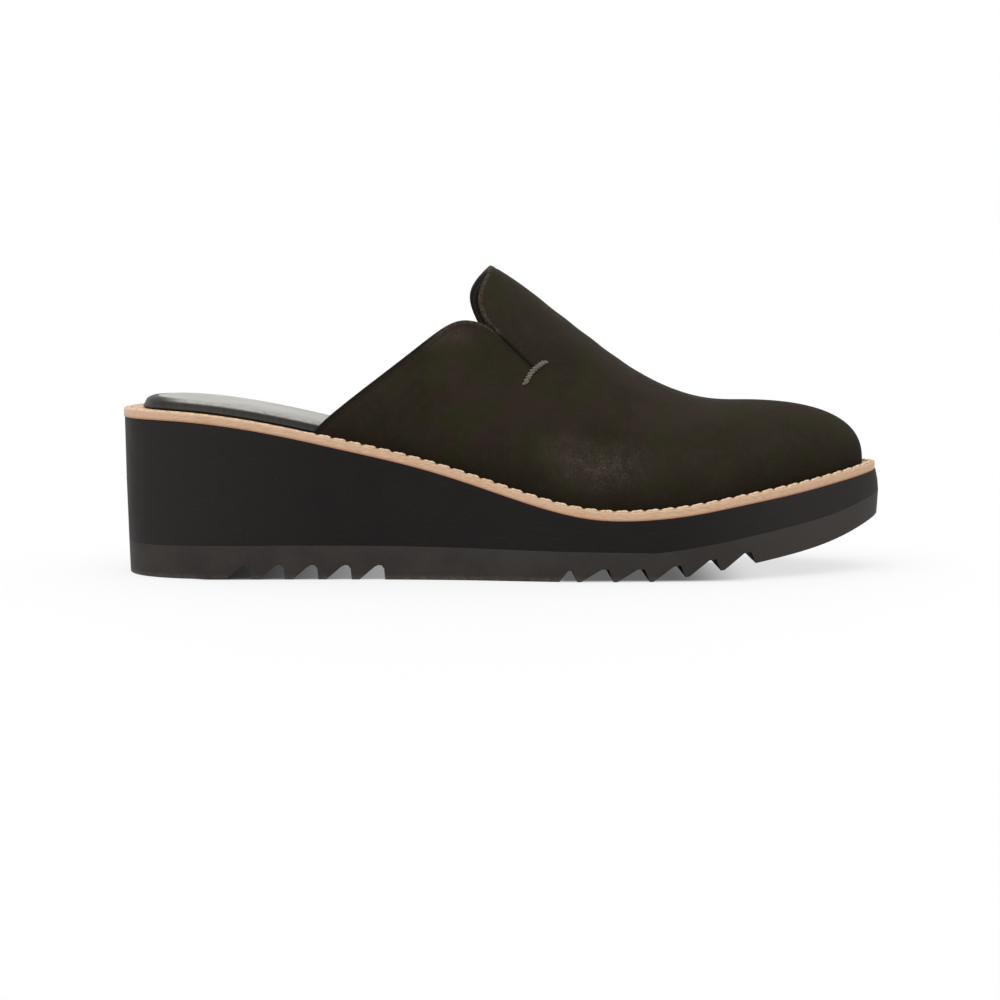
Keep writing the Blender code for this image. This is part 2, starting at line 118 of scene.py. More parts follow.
# The dressing. The channel's mouth and floor are half widths, and each thread is given by its radius.
CHANNEL_INSET = 1.9 * MM
CHANNEL_MOUTH = 0.8 * MM
CHANNEL_FLOOR = 0.35 * MM
CHANNEL_DEPTH = 0.35 * MM
WELT_STITCH_PITCH = 5.2 * MM
WELT_THREAD = 0.58 * MM
HEM_STITCH_INSET = 1.8 * MM
HEM_STITCH_PITCH = 2.0 * MM
HEM_THREAD = 0.22 * MM
TACK_TURN = 1.35 * MM
TACK_BOW = 0.8 * MM
TACK_LENGTH = 2.7 * MM
TACK_THREAD = 0.5 * MM
PLY_BULGE = 0.14
PLY_TWIST = 0.8
RIM_BULGE = 0.28 * MM
TREAD_ROUNDING = 0.4 * MM
LUG_ROUNDING = 0.25 * MM

# The foam and the outsole are raised by this into the seat above them, so that no light shows between;
# the edges that meet there are hardly rounded
SEAM = 0.28 * MM
CLOSED_EDGE = 0.05 * MM

# The welt's stitches are sunk at the heel and rise from this share of the length on
PROUD_START = 0.235
PROUD_RAMP = 0.03
STITCH_SUNK = 0.35 * MM
STITCH_RISE = 0.40 * MM
STITCH_TILT = 0.07

# The bar tack's two ends on the outer side, as places on the opening's edge are given
BAR_TACK = ((0.5227, 0.504, -0.45, 1.0), (0.5500, 0.637, -0.45, 1.0))

# Soft creases across the vamp: along, depth, half width, slant towards the toe on the inner side
CREASES = (
    (0.565, 0.16 * MM, 3.2 * MM, 0.10),
    (0.600, 0.22 * MM, 3.6 * MM, 0.06),
    (0.634, 0.20 * MM, 3.4 * MM, 0.02),
    (0.668, 0.12 * MM, 3.0 * MM, -0.03),
)
CREASE_START = 8 * MM
CREASE_RAMP = 14 * MM

# Relief beside the opening's edge: height, distance from the edge, half width
HEM_RELIEF = (
    (0.10 * MM, 0.9 * MM, 0.6 * MM),
    (-0.20 * MM, HEM_STITCH_INSET, 0.45 * MM),
    (0.06 * MM, 3.0 * MM, 0.9 * MM),
)

# Rubbed places: centre and radii in millimetres, strength
RUBBED = (
    ((31, -38, 39), (25, 30, 12), 1.0),
    ((18, -38, 44), (14, 30, 8), 0.6),
    ((-23, -29, 82), (15, 22, 6), 0.9),
)

# The set
FLOOR_COLOUR = (119, 119, 119)
# the floor's own glow is painted light, which keeps the shoe's shadows on it faint
FLOOR_GLOW = 0.70
FLOOR_SIZE = 30.0
WORLD_LIGHT = 1.0
LIGHT_AIM = (0.25, 0.35, -1.0)
LIGHT_POWER = 1.8
LIGHT_WIDTH = 70.0
CAMERA_AIM = (-1.2 * MM, 0.0, 24.0 * MM)
CAMERA_GROUND = 1.1
CAMERA_ABOVE = 0.1
CAMERA_YAW = -2.0
CAMERA_FOCAL = 3172.0


def table(columns, rows):
    """The rows' values by column name."""
    return dict(zip(columns.split(), np.array(rows, float).T))


# Seen from above. "ball" blends the heel's width into the ball's; "outer" and "inner" are shares of it.
PLAN = table("along ball outer inner", [
    (0.02, 0.00, 0.276, 0.276),
    (0.05, 0.00, 0.388, 0.388),
    (0.12, 0.00, 0.482, 0.480),
    (0.20, 0.00, 0.500, 0.493),
    (0.32, 0.10, 0.499, 0.456),
    (0.45, 0.45, 0.496, 0.424),
    (0.56, 0.85, 0.511, 0.446),
    (0.64, 1.00, 0.509, 0.475),
    (0.72, 1.00, 0.492, 0.490),
    (0.80, 1.00, 0.436, 0.458),
    (0.88, 1.00, 0.334, 0.379),
    (0.94, 1.00, 0.209, 0.283),
    (0.98, 1.00, 0.096, 0.187),
])
TOE_POINT = 0.055

# The welt's top: "heel" is a share of the heel's rise above the forefoot, "toe" of the toe's rise above it.
WELT_LINE = table("along heel toe", [
    (0.00, 1.000, 0.000),
    (0.08, 0.988, 0.000),
    (0.19, 0.874, 0.000),
    (0.29, 0.703, 0.000),
    (0.39, 0.514, 0.000),
    (0.48, 0.291, 0.000),
    (0.56, 0.093, 0.000),
    (0.60, 0.026, 0.000),
    (0.64, 0.000, 0.000),
    (0.68, 0.000, 0.016),
    (0.73, 0.000, 0.100),
    (0.80, 0.000, 0.312),
    (0.88, 0.000, 0.567),
    (0.95, 0.000, 0.816),
    (1.00, 0.000, 1.000),
])

# The outsole's underside is flat up to the first row. "spring" is a share of the toe's spring.
SPRING = table("along spring", [
    (0.69, 0.000),
    (0.73, 0.078),
    (0.78, 0.185),
    (0.84, 0.330),
    (0.89, 0.465),
    (0.94, 0.655),
    (0.975, 0.850),
    (1.00, 1.000),
])

# "thickness" is a share of the outsole's thickness.
OUTSOLE_BODY = table("along thickness", [
    (0.00, 1.00),
    (0.45, 1.00),
    (0.57, 0.93),
    (0.65, 0.90),
    (0.74, 0.85),
    (0.83, 0.87),
    (0.92, 0.84),
    (1.00, 0.72),
])

# Gaps in the tread seen from the side, as shares of each gap's length and depth
NOTCH_SHAPE = table("length depth", [
    (0.00, 0.00),
    (0.59, 0.88),
    (0.73, 1.00),
    (0.86, 0.97),
    (0.96, 0.75),
    (1.00, 0.00),
])
TOOTH_GAP_SHAPE = table("length depth", [
    (0.00, 0.00),
    (0.63, 1.00),
    (0.85, 1.00),
    (1.00, 0.00),
])
LEAD_GAP_SHAPE = table("length depth", [
    (0.00, 0.00),
    (0.50, 0.90),
    (0.73, 0.90),
    (1.00, 0.00),
])

# The last, by the ridge of the upper: "rise" is the ridge's height above the welt as a share of the
# instep's, "ridge" its shift to the inner side as a share of the ball's width.
RIDGE = table("along rise ridge", [
    (0.20, 0.930, 0.010),
    (0.35, 0.995, 0.012),
    (0.43, 1.012, 0.015),
    (0.485, 0.998, 0.018),
    (0.525, 0.954, 0.022),
    (0.565, 0.885, 0.028),
    (0.605, 0.803, 0.034),
    (0.645, 0.703, 0.040),
    (0.685, 0.602, 0.046),
    (0.725, 0.517, 0.050),
    (0.765, 0.452, 0.052),
    (0.825, 0.413, 0.055),
])

# Cross-sections of the last by the place of their foot: "outer_full" and "inner_full" are the powers of the
# two half arches, 2 being an ellipse; "outer_swell" and "inner_swell" are shares of the side's swell.
SECTIONS = table("along outer_full inner_full outer_swell inner_swell", [
    (0.20, 2.60, 2.65, 0.50, 0.60),
    (0.35, 2.70, 2.75, 0.60, 0.80),
    (0.45, 2.70, 2.80, 0.60, 0.90),
    (0.55, 2.40, 2.55, 0.50, 0.70),
    (0.65, 2.08, 2.25, 0.40, 0.40),
    (0.75, 2.00, 2.20, 0.30, 0.30),
    (0.85, 2.15, 2.35, 0.20, 0.20),
    (0.93, 2.40, 2.52, 0.10, 0.10),
    (1.00, 2.58, 2.58, 0.00, 0.00),
])

# Edges of the opening seen from the outer side: "rise" is the height above the welt as a share of the
# instep's. The inner side's edge lies further forward by a share of the inner shift, and lower by a share
# of the inner drop.
QUARTER_EDGE = table("along rise forward lower", [
    (0.2460, -0.030, 1.00, 0.00),
    (0.2555, 0.019, 1.00, 0.00),
    (0.2855, 0.143, 1.00, 0.00),
    (0.3360, 0.328, 1.00, 0.00),
    (0.3850, 0.510, 0.95, 0.20),
    (0.4100, 0.606, 0.80, 0.50),
    (0.4280, 0.667, 0.55, 0.80),
    (0.4420, 0.699, 0.25, 1.00),
    (0.4560, 0.714, -0.10, 1.00),
    (0.4670, 0.717, -0.30, 1.00),
    (0.4760, 0.714, -0.45, 1.00),
    (0.4830, 0.702, -0.45, 1.00),
])
SLIT_END = (0.5370, 0.582, -0.45, 1.00)
TAB_EDGE = table("along rise forward lower", [
    (0.4855, 0.708, -0.45, 1.00),
    (0.4770, 0.734, -0.35, 0.65),
    (0.4710, 0.765, -0.36, 0.30),
    (0.4675, 0.803, -0.40, 0.10),
    (0.4670, 0.840, -0.42, 0.00),
    (0.4710, 0.896, -0.40, 0.00),
    (0.4840, 0.990, -0.20, 0.00),
    (0.4950, 1.065, 0.00, 0.00),
])


def smooth(knots, values):
    """A natural cubic curve through the values, as a function of the knots' quantity."""
    gap = np.diff(knots)
    slope = np.diff(values) / gap
    system = np.eye(len(knots))
    bend = np.zeros(len(knots))
    for i in range(1, len(knots) - 1):
        system[i, i - 1:i + 2] = gap[i - 1], 2 * (gap[i - 1] + gap[i]), gap[i]
        bend[i] = 6 * (slope[i] - slope[i - 1])
    return cubic_pieces(knots, values, np.linalg.solve(system, bend))


def smooth_closed(knots, values):
    """The same through values that end where they begin."""
    gap = np.diff(knots)
    slope = np.diff(values) / gap
    last = len(gap)
    system = np.zeros((last, last))
    bend = np.zeros(last)
    for i in range(last):
        system[i, i] = 2 * (gap[i - 1] + gap[i])
        system[i, i - 1] += gap[i - 1]
        system[i, (i + 1) % last] += gap[i]
        bend[i] = 6 * (slope[i] - slope[i - 1])
    second = np.linalg.solve(system, bend)
    return cubic_pieces(knots, values, np.append(second, second[0]))


def cubic_pieces(knots, values, second):
    """The piecewise cubic with these values and second derivatives at the knots."""
    def at(where):
        where = np.clip(where, knots[0], knots[-1])
        i = np.clip(np.searchsorted(knots, where) - 1, 0, len(knots) - 2)
        gap = knots[i + 1] - knots[i]
        a = (knots[i + 1] - where) / gap
        b = 1 - a
        bent = (a ** 3 - a) * second[i] + (b ** 3 - b) * second[i + 1]
        return a * values[i] + b * values[i + 1] + bent * gap ** 2 / 6
    return at


def to_x(along):
    return LENGTH * (along - 0.5)


def to_along(x):
    return x / LENGTH + 0.5


welt_rise = smooth(
    WELT_LINE["along"],
    (HEEL_HEIGHT - FOREFOOT_HEIGHT) * WELT_LINE["heel"] + (TOE_HEIGHT - FOREFOOT_HEIGHT) * WELT_LINE["toe"],
)
spring_rise = smooth(SPRING["along"], TOE_SPRING * SPRING["spring"])
outsole_body = smooth(OUTSOLE_BODY["along"], OUTSOLE_THICKNESS * OUTSOLE_BODY["thickness"])
ridge_rise = smooth(RIDGE["along"], INSTEP_HEIGHT * RIDGE["rise"])
ridge_shift = smooth(RIDGE["along"], BALL_WIDTH * RIDGE["ridge"])


def welt_top(x):
    return FOREFOOT_HEIGHT + welt_rise(to_along(x))


def midsole_top(x):
    return welt_top(x) - WELT_THICKNESS - SEAT_GAP


def outsole_bottom(x):
    return np.where(to_along(x) <= SPRING["along"][0], 0.0, spring_rise(to_along(x)))


def outsole_top(x):
    return outsole_bottom(x) + outsole_body(to_along(x))


def midsole_bottom(x):
    return outsole_top(x) + SEAT_GAP


def raised(height, by):
    """The height function, higher by this much."""
    return lambda x: height(x) + by


def plan_loop():
    """The widest outline from above: a dense closed loop, the outer side first, and its normals."""
    width = HEEL_WIDTH + (BALL_WIDTH - HEEL_WIDTH) * PLAN["ball"]
    outer = np.column_stack([to_x(PLAN["along"]), -width * PLAN["outer"]])
    inner = np.column_stack([to_x(PLAN["along"]), width * PLAN["inner"]])
    heel = [[to_x(0.0), 0.0]]
    toe = [[to_x(1.0), BALL_WIDTH * TOE_POINT]]
    points = np.vstack([heel, outer, toe, inner[::-1], heel])
    knots = np.append(0, np.cumsum(np.hypot(*np.diff(points, axis=0).T)))
    where = np.linspace(0, knots[-1], LOOP_SAMPLES, endpoint=False)
    x = smooth_closed(knots, points[:, 0])(where)
    y = smooth_closed(knots, points[:, 1])(where)
    x *= LENGTH / (x.max() - x.min())
    x -= (x.max() + x.min()) / 2
    y -= (y.max() + y.min()) / 2
    tangent_x = np.roll(x, -1) - np.roll(x, 1)
    tangent_y = np.roll(y, -1) - np.roll(y, 1)
    size = np.hypot(tangent_x, tangent_y)
    return x, y, tangent_y / size, -tangent_x / size


LOOP = plan_loop()


def outline(inset):
    """The outline moved inwards: its x at heel and toe, and both sides' y as functions of x."""
    x, y, normal_x, normal_y = LOOP
    heel, toe = inset
    depth = heel + (toe - heel) * to_along(x)
    x = x - normal_x * depth
    y = y - normal_y * depth
    start = int(np.argmin(x))
    x = np.roll(x, -start)
    y = np.roll(y, -start)
    tip = int(np.argmax(x))
    outer_x, outer_y = x[:tip + 1], y[:tip + 1]
    inner_x, inner_y = np.append(x[tip:], x[0])[::-1], np.append(y[tip:], y[0])[::-1]
    return (
        x[0],
        x[tip],
        lambda at: np.interp(at, outer_x, outer_y),
        lambda at: np.interp(at, inner_x, inner_y),
    )


def deeper(inset, by, at_heel=0.0):
    """The inset, further in by this much all round and by at_heel more at the heel."""
    return inset[0] + by + at_heel, inset[1] + by


def ring(inset, height):
    """A closed ring of points at the inset, from the heel along the outer side to the toe and back."""
    heel, toe, outer, inner = outline(inset)
    turn = np.cos(np.linspace(0, math.pi, SOLE_STATIONS + 1))
    x = (heel + toe) / 2 - (toe - heel) / 2 * turn
    back = slice(SOLE_STATIONS - 1, 0, -1)
    outer_side = np.column_stack([x, outer(x), height(x)])
    inner_side = np.column_stack([x, inner(x), height(x)])
    return np.vstack([outer_side, inner_side[back]])


def between(low, high, share):
    """The height function this share of the way from the low one to the high one."""
    return lambda x: low(x) + (high(x) - low(x)) * share


def mix(first, second, share):
    return tuple(a + (b - a) * share for a, b in zip(first, second))


def linear(colour):
    """An sRGB colour of 0 to 255 as the shader takes it."""
    return tuple(((c / 255 + 0.055) / 1.055) ** 2.4 for c in colour) + (1.0,)


class Paint:
    """A material under construction: its tone so far, and short ways to lay patterns over it."""

    def __init__(self, name, tone, roughness, specular):
        self.material = bpy.data.materials.new(name)
        self.material.use_nodes = True
        self.tree = self.material.node_tree
        self.shader = self.tree.nodes["Principled BSDF"]
        self.tone = tone
        self.set({"Roughness": roughness, "Specular IOR Level": specular})
        self.place = self.add("TexCoord", {})["Object"]

    def put(self, socket, value):
        """Links a pattern to the socket, or sets its value; three numbers for a colour are sRGB."""
        if isinstance(value, bpy.types.NodeSocket):
            self.tree.links.new(value, socket)
        elif isinstance(value, tuple) and len(value) == 3 and socket.type == "RGBA":
            socket.default_value = linear(value)
        else:
            socket.default_value = value

    def set(self, values):
        """Values or patterns for the surface's own inputs, by name."""
        for name, value in values.items():
            self.put(self.shader.inputs[name], value)

    def add(self, kind, inputs, **settings):
        """The outputs of a new node with these inputs and settings."""
        node = self.tree.nodes.new("ShaderNode" + kind)
        for name, value in settings.items():
            setattr(node, name, value)
        for socket, value in inputs.items():
            self.put(node.inputs[socket], value)
        return node.outputs

    def stretched(self, factors, at=(0, 0, 0)):
        """The place on the object, moved and stretched along its axes."""
        moved = tuple(-a * f for a, f in zip(at, factors))
        return self.add("Mapping", {"Vector": self.place, "Scale": factors, "Location": moved})["Vector"]

    def noise(self, size, detail=3.0, place=None, distortion=0.0, rough=0.55):
        """Noise from 0 to 1 with spots of this size in millimetres."""
        return self.add("TexNoise", {
            "Vector": place or self.place,
            "Scale": 1.0 / (size * MM),
            "Detail": detail,
            "Roughness": rough,
            "Distortion": distortion,
        })["Fac"]

    def cells(self, size):
        """The distance to the middle of cells of this size in millimetres."""
        return self.add("TexVoronoi", {"Vector": self.place, "Scale": 1.0 / (size * MM)})["Distance"]

    def curve(self, value, low, high, out_low=0.0, out_high=1.0):
        """The value eased from low..high to the outgoing range."""
        inputs = {"Value": value, "From Min": low, "From Max": high, "To Min": out_low, "To Max": out_high}
        return self.add("MapRange", inputs, interpolation_type="SMOOTHSTEP")["Result"]

    def combine(self, operation, first, second):
        return self.add("Math", {0: first, 1: second}, operation=operation)[0]

    def times(self, product, *factors):
        for factor in factors:
            product = self.combine("MULTIPLY", product, factor)
        return product

    def near(self, centre, radii):
        """1 at a place of the object, falling to 0 at the radii, both in millimetres."""
        factors = tuple(1.0 / (radius * MM) for radius in radii)
        place = self.stretched(factors, tuple(length * MM for length in centre))
        away = self.add("VectorMath", {0: place}, operation="LENGTH")["Value"]
        return self.curve(away, 0.0, 1.0, 1.0, 0.0)

    def measure(self, name):
        """A length stored on the mesh, in metres."""
        return self.add("Attribute", {}, attribute_name=name)["Fac"]

    def axis(self, name):
        return self.add("SeparateXYZ", {0: self.place})[name]

    def cover(self, share, colour):
        """Lays a colour over the tone so far, by a share that may be a pattern."""
        self.tone = self.add("Mix", {0: share, 6: self.tone, 7: colour}, data_type="RGBA")[2]

    def finish(self, *layers):
        """The material with bumps from (height, strength, depth in millimetres) layers, finest last."""
        below = {}
        for height, strength, depth in layers:
            inputs = {"Height": height, "Strength": strength, "Distance": depth * MM, **below}
            below = {"Normal": self.add("Bump", inputs)["Normal"]}
        self.set({"Base Color": self.tone, **below})
        return self.material


def nubuck():
    paint = Paint("waxed nubuck", (43, 34, 30), 0.75, 0.03)
    paint.set({"Sheen Weight": 0.015, "Sheen Roughness": 0.35, "Sheen Tint": (214, 204, 184)})
    clouds = paint.noise(22, 2.0)
    tint = paint.noise(11, 3.0, paint.stretched((1, 1, 1), (0.1, 0.2, 0.3)))
    spots = paint.noise(3.2)
    paint.cover(paint.curve(tint, 0.38, 0.62), (38, 37, 22))
    paint.cover(paint.curve(clouds, 0.3, 0.7, 0.0, 0.75), (32, 27, 20))
    paint.cover(paint.curve(spots, 0.4, 0.75, 0.0, 0.4), (45, 40, 33))
    # painted shade: darker down by the welt, where the welt shades the leather
    paint.cover(paint.curve(paint.measure("above_welt"), 0.0, 15 * MM, 0.5, 0.0), (24, 20, 15))
    # the vamp's flank and the tab's shoulder are rubbed pale in clouds of fine specks
    rubbed = 0.0
    for centre, radii, share in RUBBED:
        rubbed = paint.combine("MAXIMUM", rubbed, paint.times(paint.near(centre, radii), share))
    drift = paint.curve(paint.noise(4), 0.35, 0.65, 0.2, 1.0)
    specks = paint.curve(paint.noise(0.55, 5.0, distortion=0.4, rough=0.7), 0.40, 0.68)
    paint.cover(paint.times(drift, 0.9, specks, rubbed), (80, 71, 63))
    paint.cover(paint.times(rubbed, 0.2), (58, 51, 45))
    # the turned edge of the opening: worn pale with a painted highlight high up at the tab, and painted
    # shade lower down along the slit and the quarter
    edge = paint.curve(paint.measure("from_edge"), 0.3 * MM, 1.4 * MM, 1.0, 0.0)
    height = paint.axis("Z")
    wear = paint.curve(paint.noise(0.9, 4.0), 0.40, 0.62)
    paint.cover(paint.times(edge, paint.curve(height, 80 * MM, 85 * MM), wear, 0.6), (78, 69, 60))
    paint.cover(paint.times(edge, paint.curve(height, 80 * MM, 85 * MM, 0.6, 0.0)), (17, 15, 12))
    # stray pale fibres everywhere
    along = paint.stretched((1, 1, 2.2), (0.3, 0.1, 0))
    fibres = paint.curve(paint.noise(0.5, 2.0, along), 0.60, 0.72)
    paint.cover(paint.times(fibres, 0.25), (74, 67, 56))
    paint.set({"Roughness": paint.curve(spots, 0.3, 0.7, 0.64, 0.78)})
    return paint.finish(
        (spots, 0.35, 0.12),
        (paint.noise(1.1), 0.4, 0.06),
        (paint.noise(0.45, 2.0), 0.45, 0.035),
    )


def lining():
    paint = Paint("lining leather", (42, 36, 31), 0.6, 0.3)
    paint.cover(paint.curve(paint.noise(9), 0.3, 0.7), (53, 46, 40))
    return paint.finish((paint.cells(0.9), 0.5, 0.06), (paint.noise(0.4), 0.3, 0.03))


def tan_leather():
    paint = Paint("tan welt leather", (174, 137, 108), 0.5, 0.35)
    streaks = paint.noise(0.9, 4.0, paint.stretched((0.35, 0.6, 3.0)))
    paint.cover(paint.curve(streaks, 0.3, 0.7), (193, 162, 133))
    paint.cover(paint.curve(paint.noise(16, 2.0), 0.35, 0.7, 0.0, 0.5), (182, 150, 126))
    # the knife has darkened its lower edge
    height = paint.measure("above_welt")
    paint.cover(paint.curve(height, -WELT_THICKNESS, -0.65 * WELT_THICKNESS, 0.8, 0.0), (146, 96, 66))
    return paint.finish((streaks, 0.35, 0.08), (paint.noise(0.35), 0.35, 0.03))


def thread(name, colour, shade):
    paint = Paint(name, shade, 0.65, 0.15)
    paint.cover(paint.curve(paint.noise(0.5, 2.0), 0.3, 0.7), colour)
    return paint.finish((paint.noise(0.18, 1.0), 0.5, 0.04))


def foam():
    paint = Paint("black foam rubber", (13, 11, 10), 0.66, 0.15)
    haze = paint.noise(17)
    drag = paint.noise(1.6, 3.0, paint.stretched((0.25, 0.4, 2.4)))
    paint.cover(paint.curve(haze, 0.3, 0.7), (19, 17, 15))
    # painted light: paler at the heel and the toe, where the wall curves round and catches more light
    x = paint.axis("X")
    heel = paint.curve(x, -125 * MM, -50 * MM, 0.65, 0.0)
    toe = paint.curve(x, 45 * MM, 110 * MM, 0.0, 0.9)
    paint.cover(paint.combine("ADD", heel, toe), (35, 31, 30))
    paint.cover(paint.curve(drag, 0.5, 0.8, 0.0, 0.15), (44, 40, 37))
    dust = paint.curve(paint.noise(0.7), 0.55, 0.8)
    paint.cover(paint.times(dust, 0.25), (48, 44, 41))
    paint.set({"Roughness": paint.curve(haze, 0.3, 0.7, 0.6, 0.72)})
    return paint.finish((drag, 0.06, 0.05), (paint.cells(0.6), 0.35, 0.05), (paint.noise(0.3), 0.3, 0.03))


def rubber():
    paint = Paint("outsole rubber", (36, 32, 30), 0.68, 0.22)
    scuff = paint.noise(1.3, 4.0)
    paint.cover(paint.curve(paint.noise(12), 0.3, 0.7), (43, 39, 36))
    paint.cover(paint.curve(scuff, 0.5, 0.8, 0.0, 0.2), (58, 53, 50))
    # painted light: paler towards the toe, where the wall curves round and catches more light
    paint.cover(paint.curve(paint.axis("X"), 60 * MM, 110 * MM, 0.0, 0.9), (50, 46, 43))
    # the treading face and the edges of the lugs are dusty
    low = paint.curve(paint.axis("Z"), 0.0, 2.2 * MM, 0.45, 0.0)
    paint.cover(paint.times(low, paint.curve(scuff, 0.3, 0.7, 0.3, 1.0)), (92, 86, 80))
    return paint.finish((scuff, 0.3, 0.08), (paint.noise(0.45), 0.4, 0.05))


def gap_rubber():
    """The rubber inside the tread's gaps, darker as painted shade for their shadowed walls."""
    paint = Paint("shaded rubber", (12, 11, 10), 0.8, 0.05)
    paint.cover(paint.curve(paint.noise(2.5), 0.3, 0.7), (19, 17, 16))
    return paint.finish((paint.noise(0.45), 0.4, 0.05))


def insole_cover():
    paint = Paint("silver insole leather", (140, 138, 131), 0.42, 0.5)
    grain = paint.cells(0.8)
    paint.cover(paint.curve(paint.noise(24), 0.3, 0.7), (160, 157, 149))
    paint.cover(paint.curve(grain, 0.0, 0.5, 0.25, 0.0), (112, 109, 104))
    paint.set({"Metallic": 0.25})
    return paint.finish((grain, 0.3, 0.05), (paint.noise(0.3), 0.2, 0.02))


def wrap():
    paint = Paint("black wrapping leather", (16, 14, 10), 0.5, 0.25)
    folds = paint.noise(2.2, 3.0, paint.stretched((2.2, 1.2, 0.5)))
    paint.cover(paint.curve(folds, 0.3, 0.75), (33, 29, 23))
    # the cover's paler leather laps over the edge from a little ahead of the heel
    high = paint.curve(paint.measure("above_welt"), 2.7 * MM, 3.5 * MM)
    ahead = paint.curve(paint.axis("X"), -118 * MM, -108 * MM)
    mottle = paint.curve(paint.noise(2.2), 0.3, 0.6, 0.75, 1.0)
    paint.cover(paint.times(high, ahead, mottle), (148, 146, 139))
    return paint.finish((folds, 0.45, 0.15), (paint.cells(0.5), 0.3, 0.03))


def floor_paint():
    paint = Paint("pale floor", FLOOR_COLOUR, 0.9, 0.1)
    paint.cover(paint.noise(300), tuple(c + 1 for c in FLOOR_COLOUR))
    x = paint.axis("X")
    y = paint.axis("Y")
    # painted shadow: the floor's glow is less under the heel's notches and under the ball, where the shoe
    # shades it
    heel = paint.times(
        paint.curve(x, -100 * MM, -30 * MM, 0.91, 0.5),
        paint.curve(y, -33 * MM, -29 * MM),
        paint.curve(x, -36 * MM, -30 * MM, 1.0, 0.0),
    )
    ball = paint.times(
        paint.curve(x, 12 * MM, 20 * MM),
        paint.curve(x, 55 * MM, 95 * MM, 0.74, 0.0),
        paint.curve(y, -46 * MM, -36 * MM),
    )
    behind = paint.curve(y, 12 * MM, 24 * MM, 1.0, 0.0)
    start = paint.curve(x, -108 * MM, -100 * MM)
    shade = paint.times(paint.combine("MAXIMUM", heel, ball), behind, start)
    # the floor glows, as painted light
    glow = paint.curve(shade, 0.0, 1.0, FLOOR_GLOW, 0.0)
    paint.set({"Emission Color": (255, 255, 255), "Emission Strength": glow})
    return paint.finish()


def add_object(name, data):
    made = bpy.data.objects.new(name, data)
    bpy.context.scene.collection.objects.link(made)
    return made


def solid(name, points, faces, materials, indices=None, angle=38):
    """A mesh piece with its faces turned outwards, sharp where they meet at more than the angle."""
    mesh = bpy.data.meshes.new(name)
    mesh.from_pydata(np.asarray(points, float).tolist(), [], [tuple(int(i) for i in f) for f in faces])
    for finish in materials:
        mesh.materials.append(finish)
    if indices is not None:
        mesh.polygons.foreach_set("material_index", np.asarray(indices, np.int32))
    shape = bmesh.new()
    shape.from_mesh(mesh)
    bmesh.ops.recalc_face_normals(shape, faces=shape.faces)
    shape.to_mesh(mesh)
    shape.free()
    mesh.shade_smooth()
    mesh.set_sharp_from_angle(angle=math.radians(angle))
    return add_object(name, mesh)


def keep_lengths(made, **lengths):
    """Stores lengths for the piece's points on its mesh."""
    for name, values in lengths.items():
        made.data.attributes.new(name, "FLOAT", "POINT").data.foreach_set("value", values)


def place_in(made, slot, *nodes):
    """Lets the piece ride with the shoe, in the place of the nodes, which it hides. The slot is not used.
    """
    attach(made, "root")
    if nodes:
        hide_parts(*nodes)


def bridge(first, second, count):
    """Faces between two rings of points that start at first and second."""
    following = [(i + 1) % count for i in range(count)]
    return [(first + i, first + j, second + j, second + i) for i, j in enumerate(following)]


def cap(start, count):
    """Faces across a ring, each from the outer side to the points opposite it on the inner side."""
    half = count // 2
    other = [start + (count - i) % count for i in range(half + 1)]
    faces = [(start, start + 1, other[1])]
    faces += [(start + i, start + i + 1, other[i + 1], other[i]) for i in range(1, half - 1)]
    faces.append((start + half - 1, start + half, other[half - 1]))
    return faces


def stack(name, rings, materials, row_material=None, capped=True):
    """A piece through rings listed from its underside up; row_material gives each row's material."""
    count = len(rings[0])
    row_material = row_material or [0] * (len(rings) + 1)
    faces = []
    indices = []
    for i in range(len(rings) - 1):
        faces += bridge(i * count, (i + 1) * count, count)
        indices += [row_material[i]] * count
    if capped:
        low = [tuple(reversed(face)) for face in cap(0, count)]
        high = cap((len(rings) - 1) * count, count)
        faces += low + high
        indices += [row_material[0]] * len(low) + [row_material[-1]] * len(high)
    else:
        faces += bridge((len(rings) - 1) * count, 0, count)
        indices += [0] * count
    return solid(name, np.vstack(rings), faces, materials, indices)


def quarter_turn(steps):
    """Sine and cosine at even steps through a quarter turn."""
    turns = [i / steps * math.pi / 2 for i in range(steps + 1)]
    return [(math.sin(turn), math.cos(turn)) for turn in turns]


def rounded_wall(levels, low, high, steps=4):
    """Rings up a wall through (inset, height) levels, its two edges rounded by the radii low and high."""
    foot, foot_height = levels[0]
    top, top_height = levels[-1]
    turns = quarter_turn(steps)
    rings = [ring(deeper(foot, low * (1 - s)), raised(foot_height, low * (1 - c))) for s, c in turns]
    rings += [ring(inset, height) for inset, height in levels[1:-1]]
    rings += [ring(deeper(top, high * (1 - c)), raised(top_height, -high * (1 - s))) for s, c in turns]
    return rings


def capsule(length, radius, rows=14, around=10, arch=0.0):
    """One stitch along +X: a short thread of two twisted plies, with round ends, arched upwards."""
    points = [(-length / 2, 0, -arch)]
    for i in range(1, rows):
        t = -math.cos(math.pi * i / rows)
        x = t * length / 2
        into_end = max(0.0, abs(x) - (length / 2 - radius))
        size = radius * min(1.0, math.sqrt(max(0.0, 1 - into_end ** 2 / radius ** 2)) + 0.02)
        lift = -arch * t * t
        for j in range(around):
            a = 2 * math.pi * j / around
            bulge = 1 + PLY_BULGE * math.cos(2 * (a - x / radius * PLY_TWIST))
            points.append((x, size * bulge * math.cos(a), size * bulge * math.sin(a) + lift))
    points.append((length / 2, 0, -arch))
    faces = [(0, 1 + (j + 1) % around, 1 + j) for j in range(around)]
    for i in range(rows - 2):
        faces += bridge(1 + i * around, 1 + (i + 1) * around, around)
    last = len(points) - 1
    faces += [(last, last - around + j, last - around + (j + 1) % around) for j in range(around)]
    return np.array(points), faces


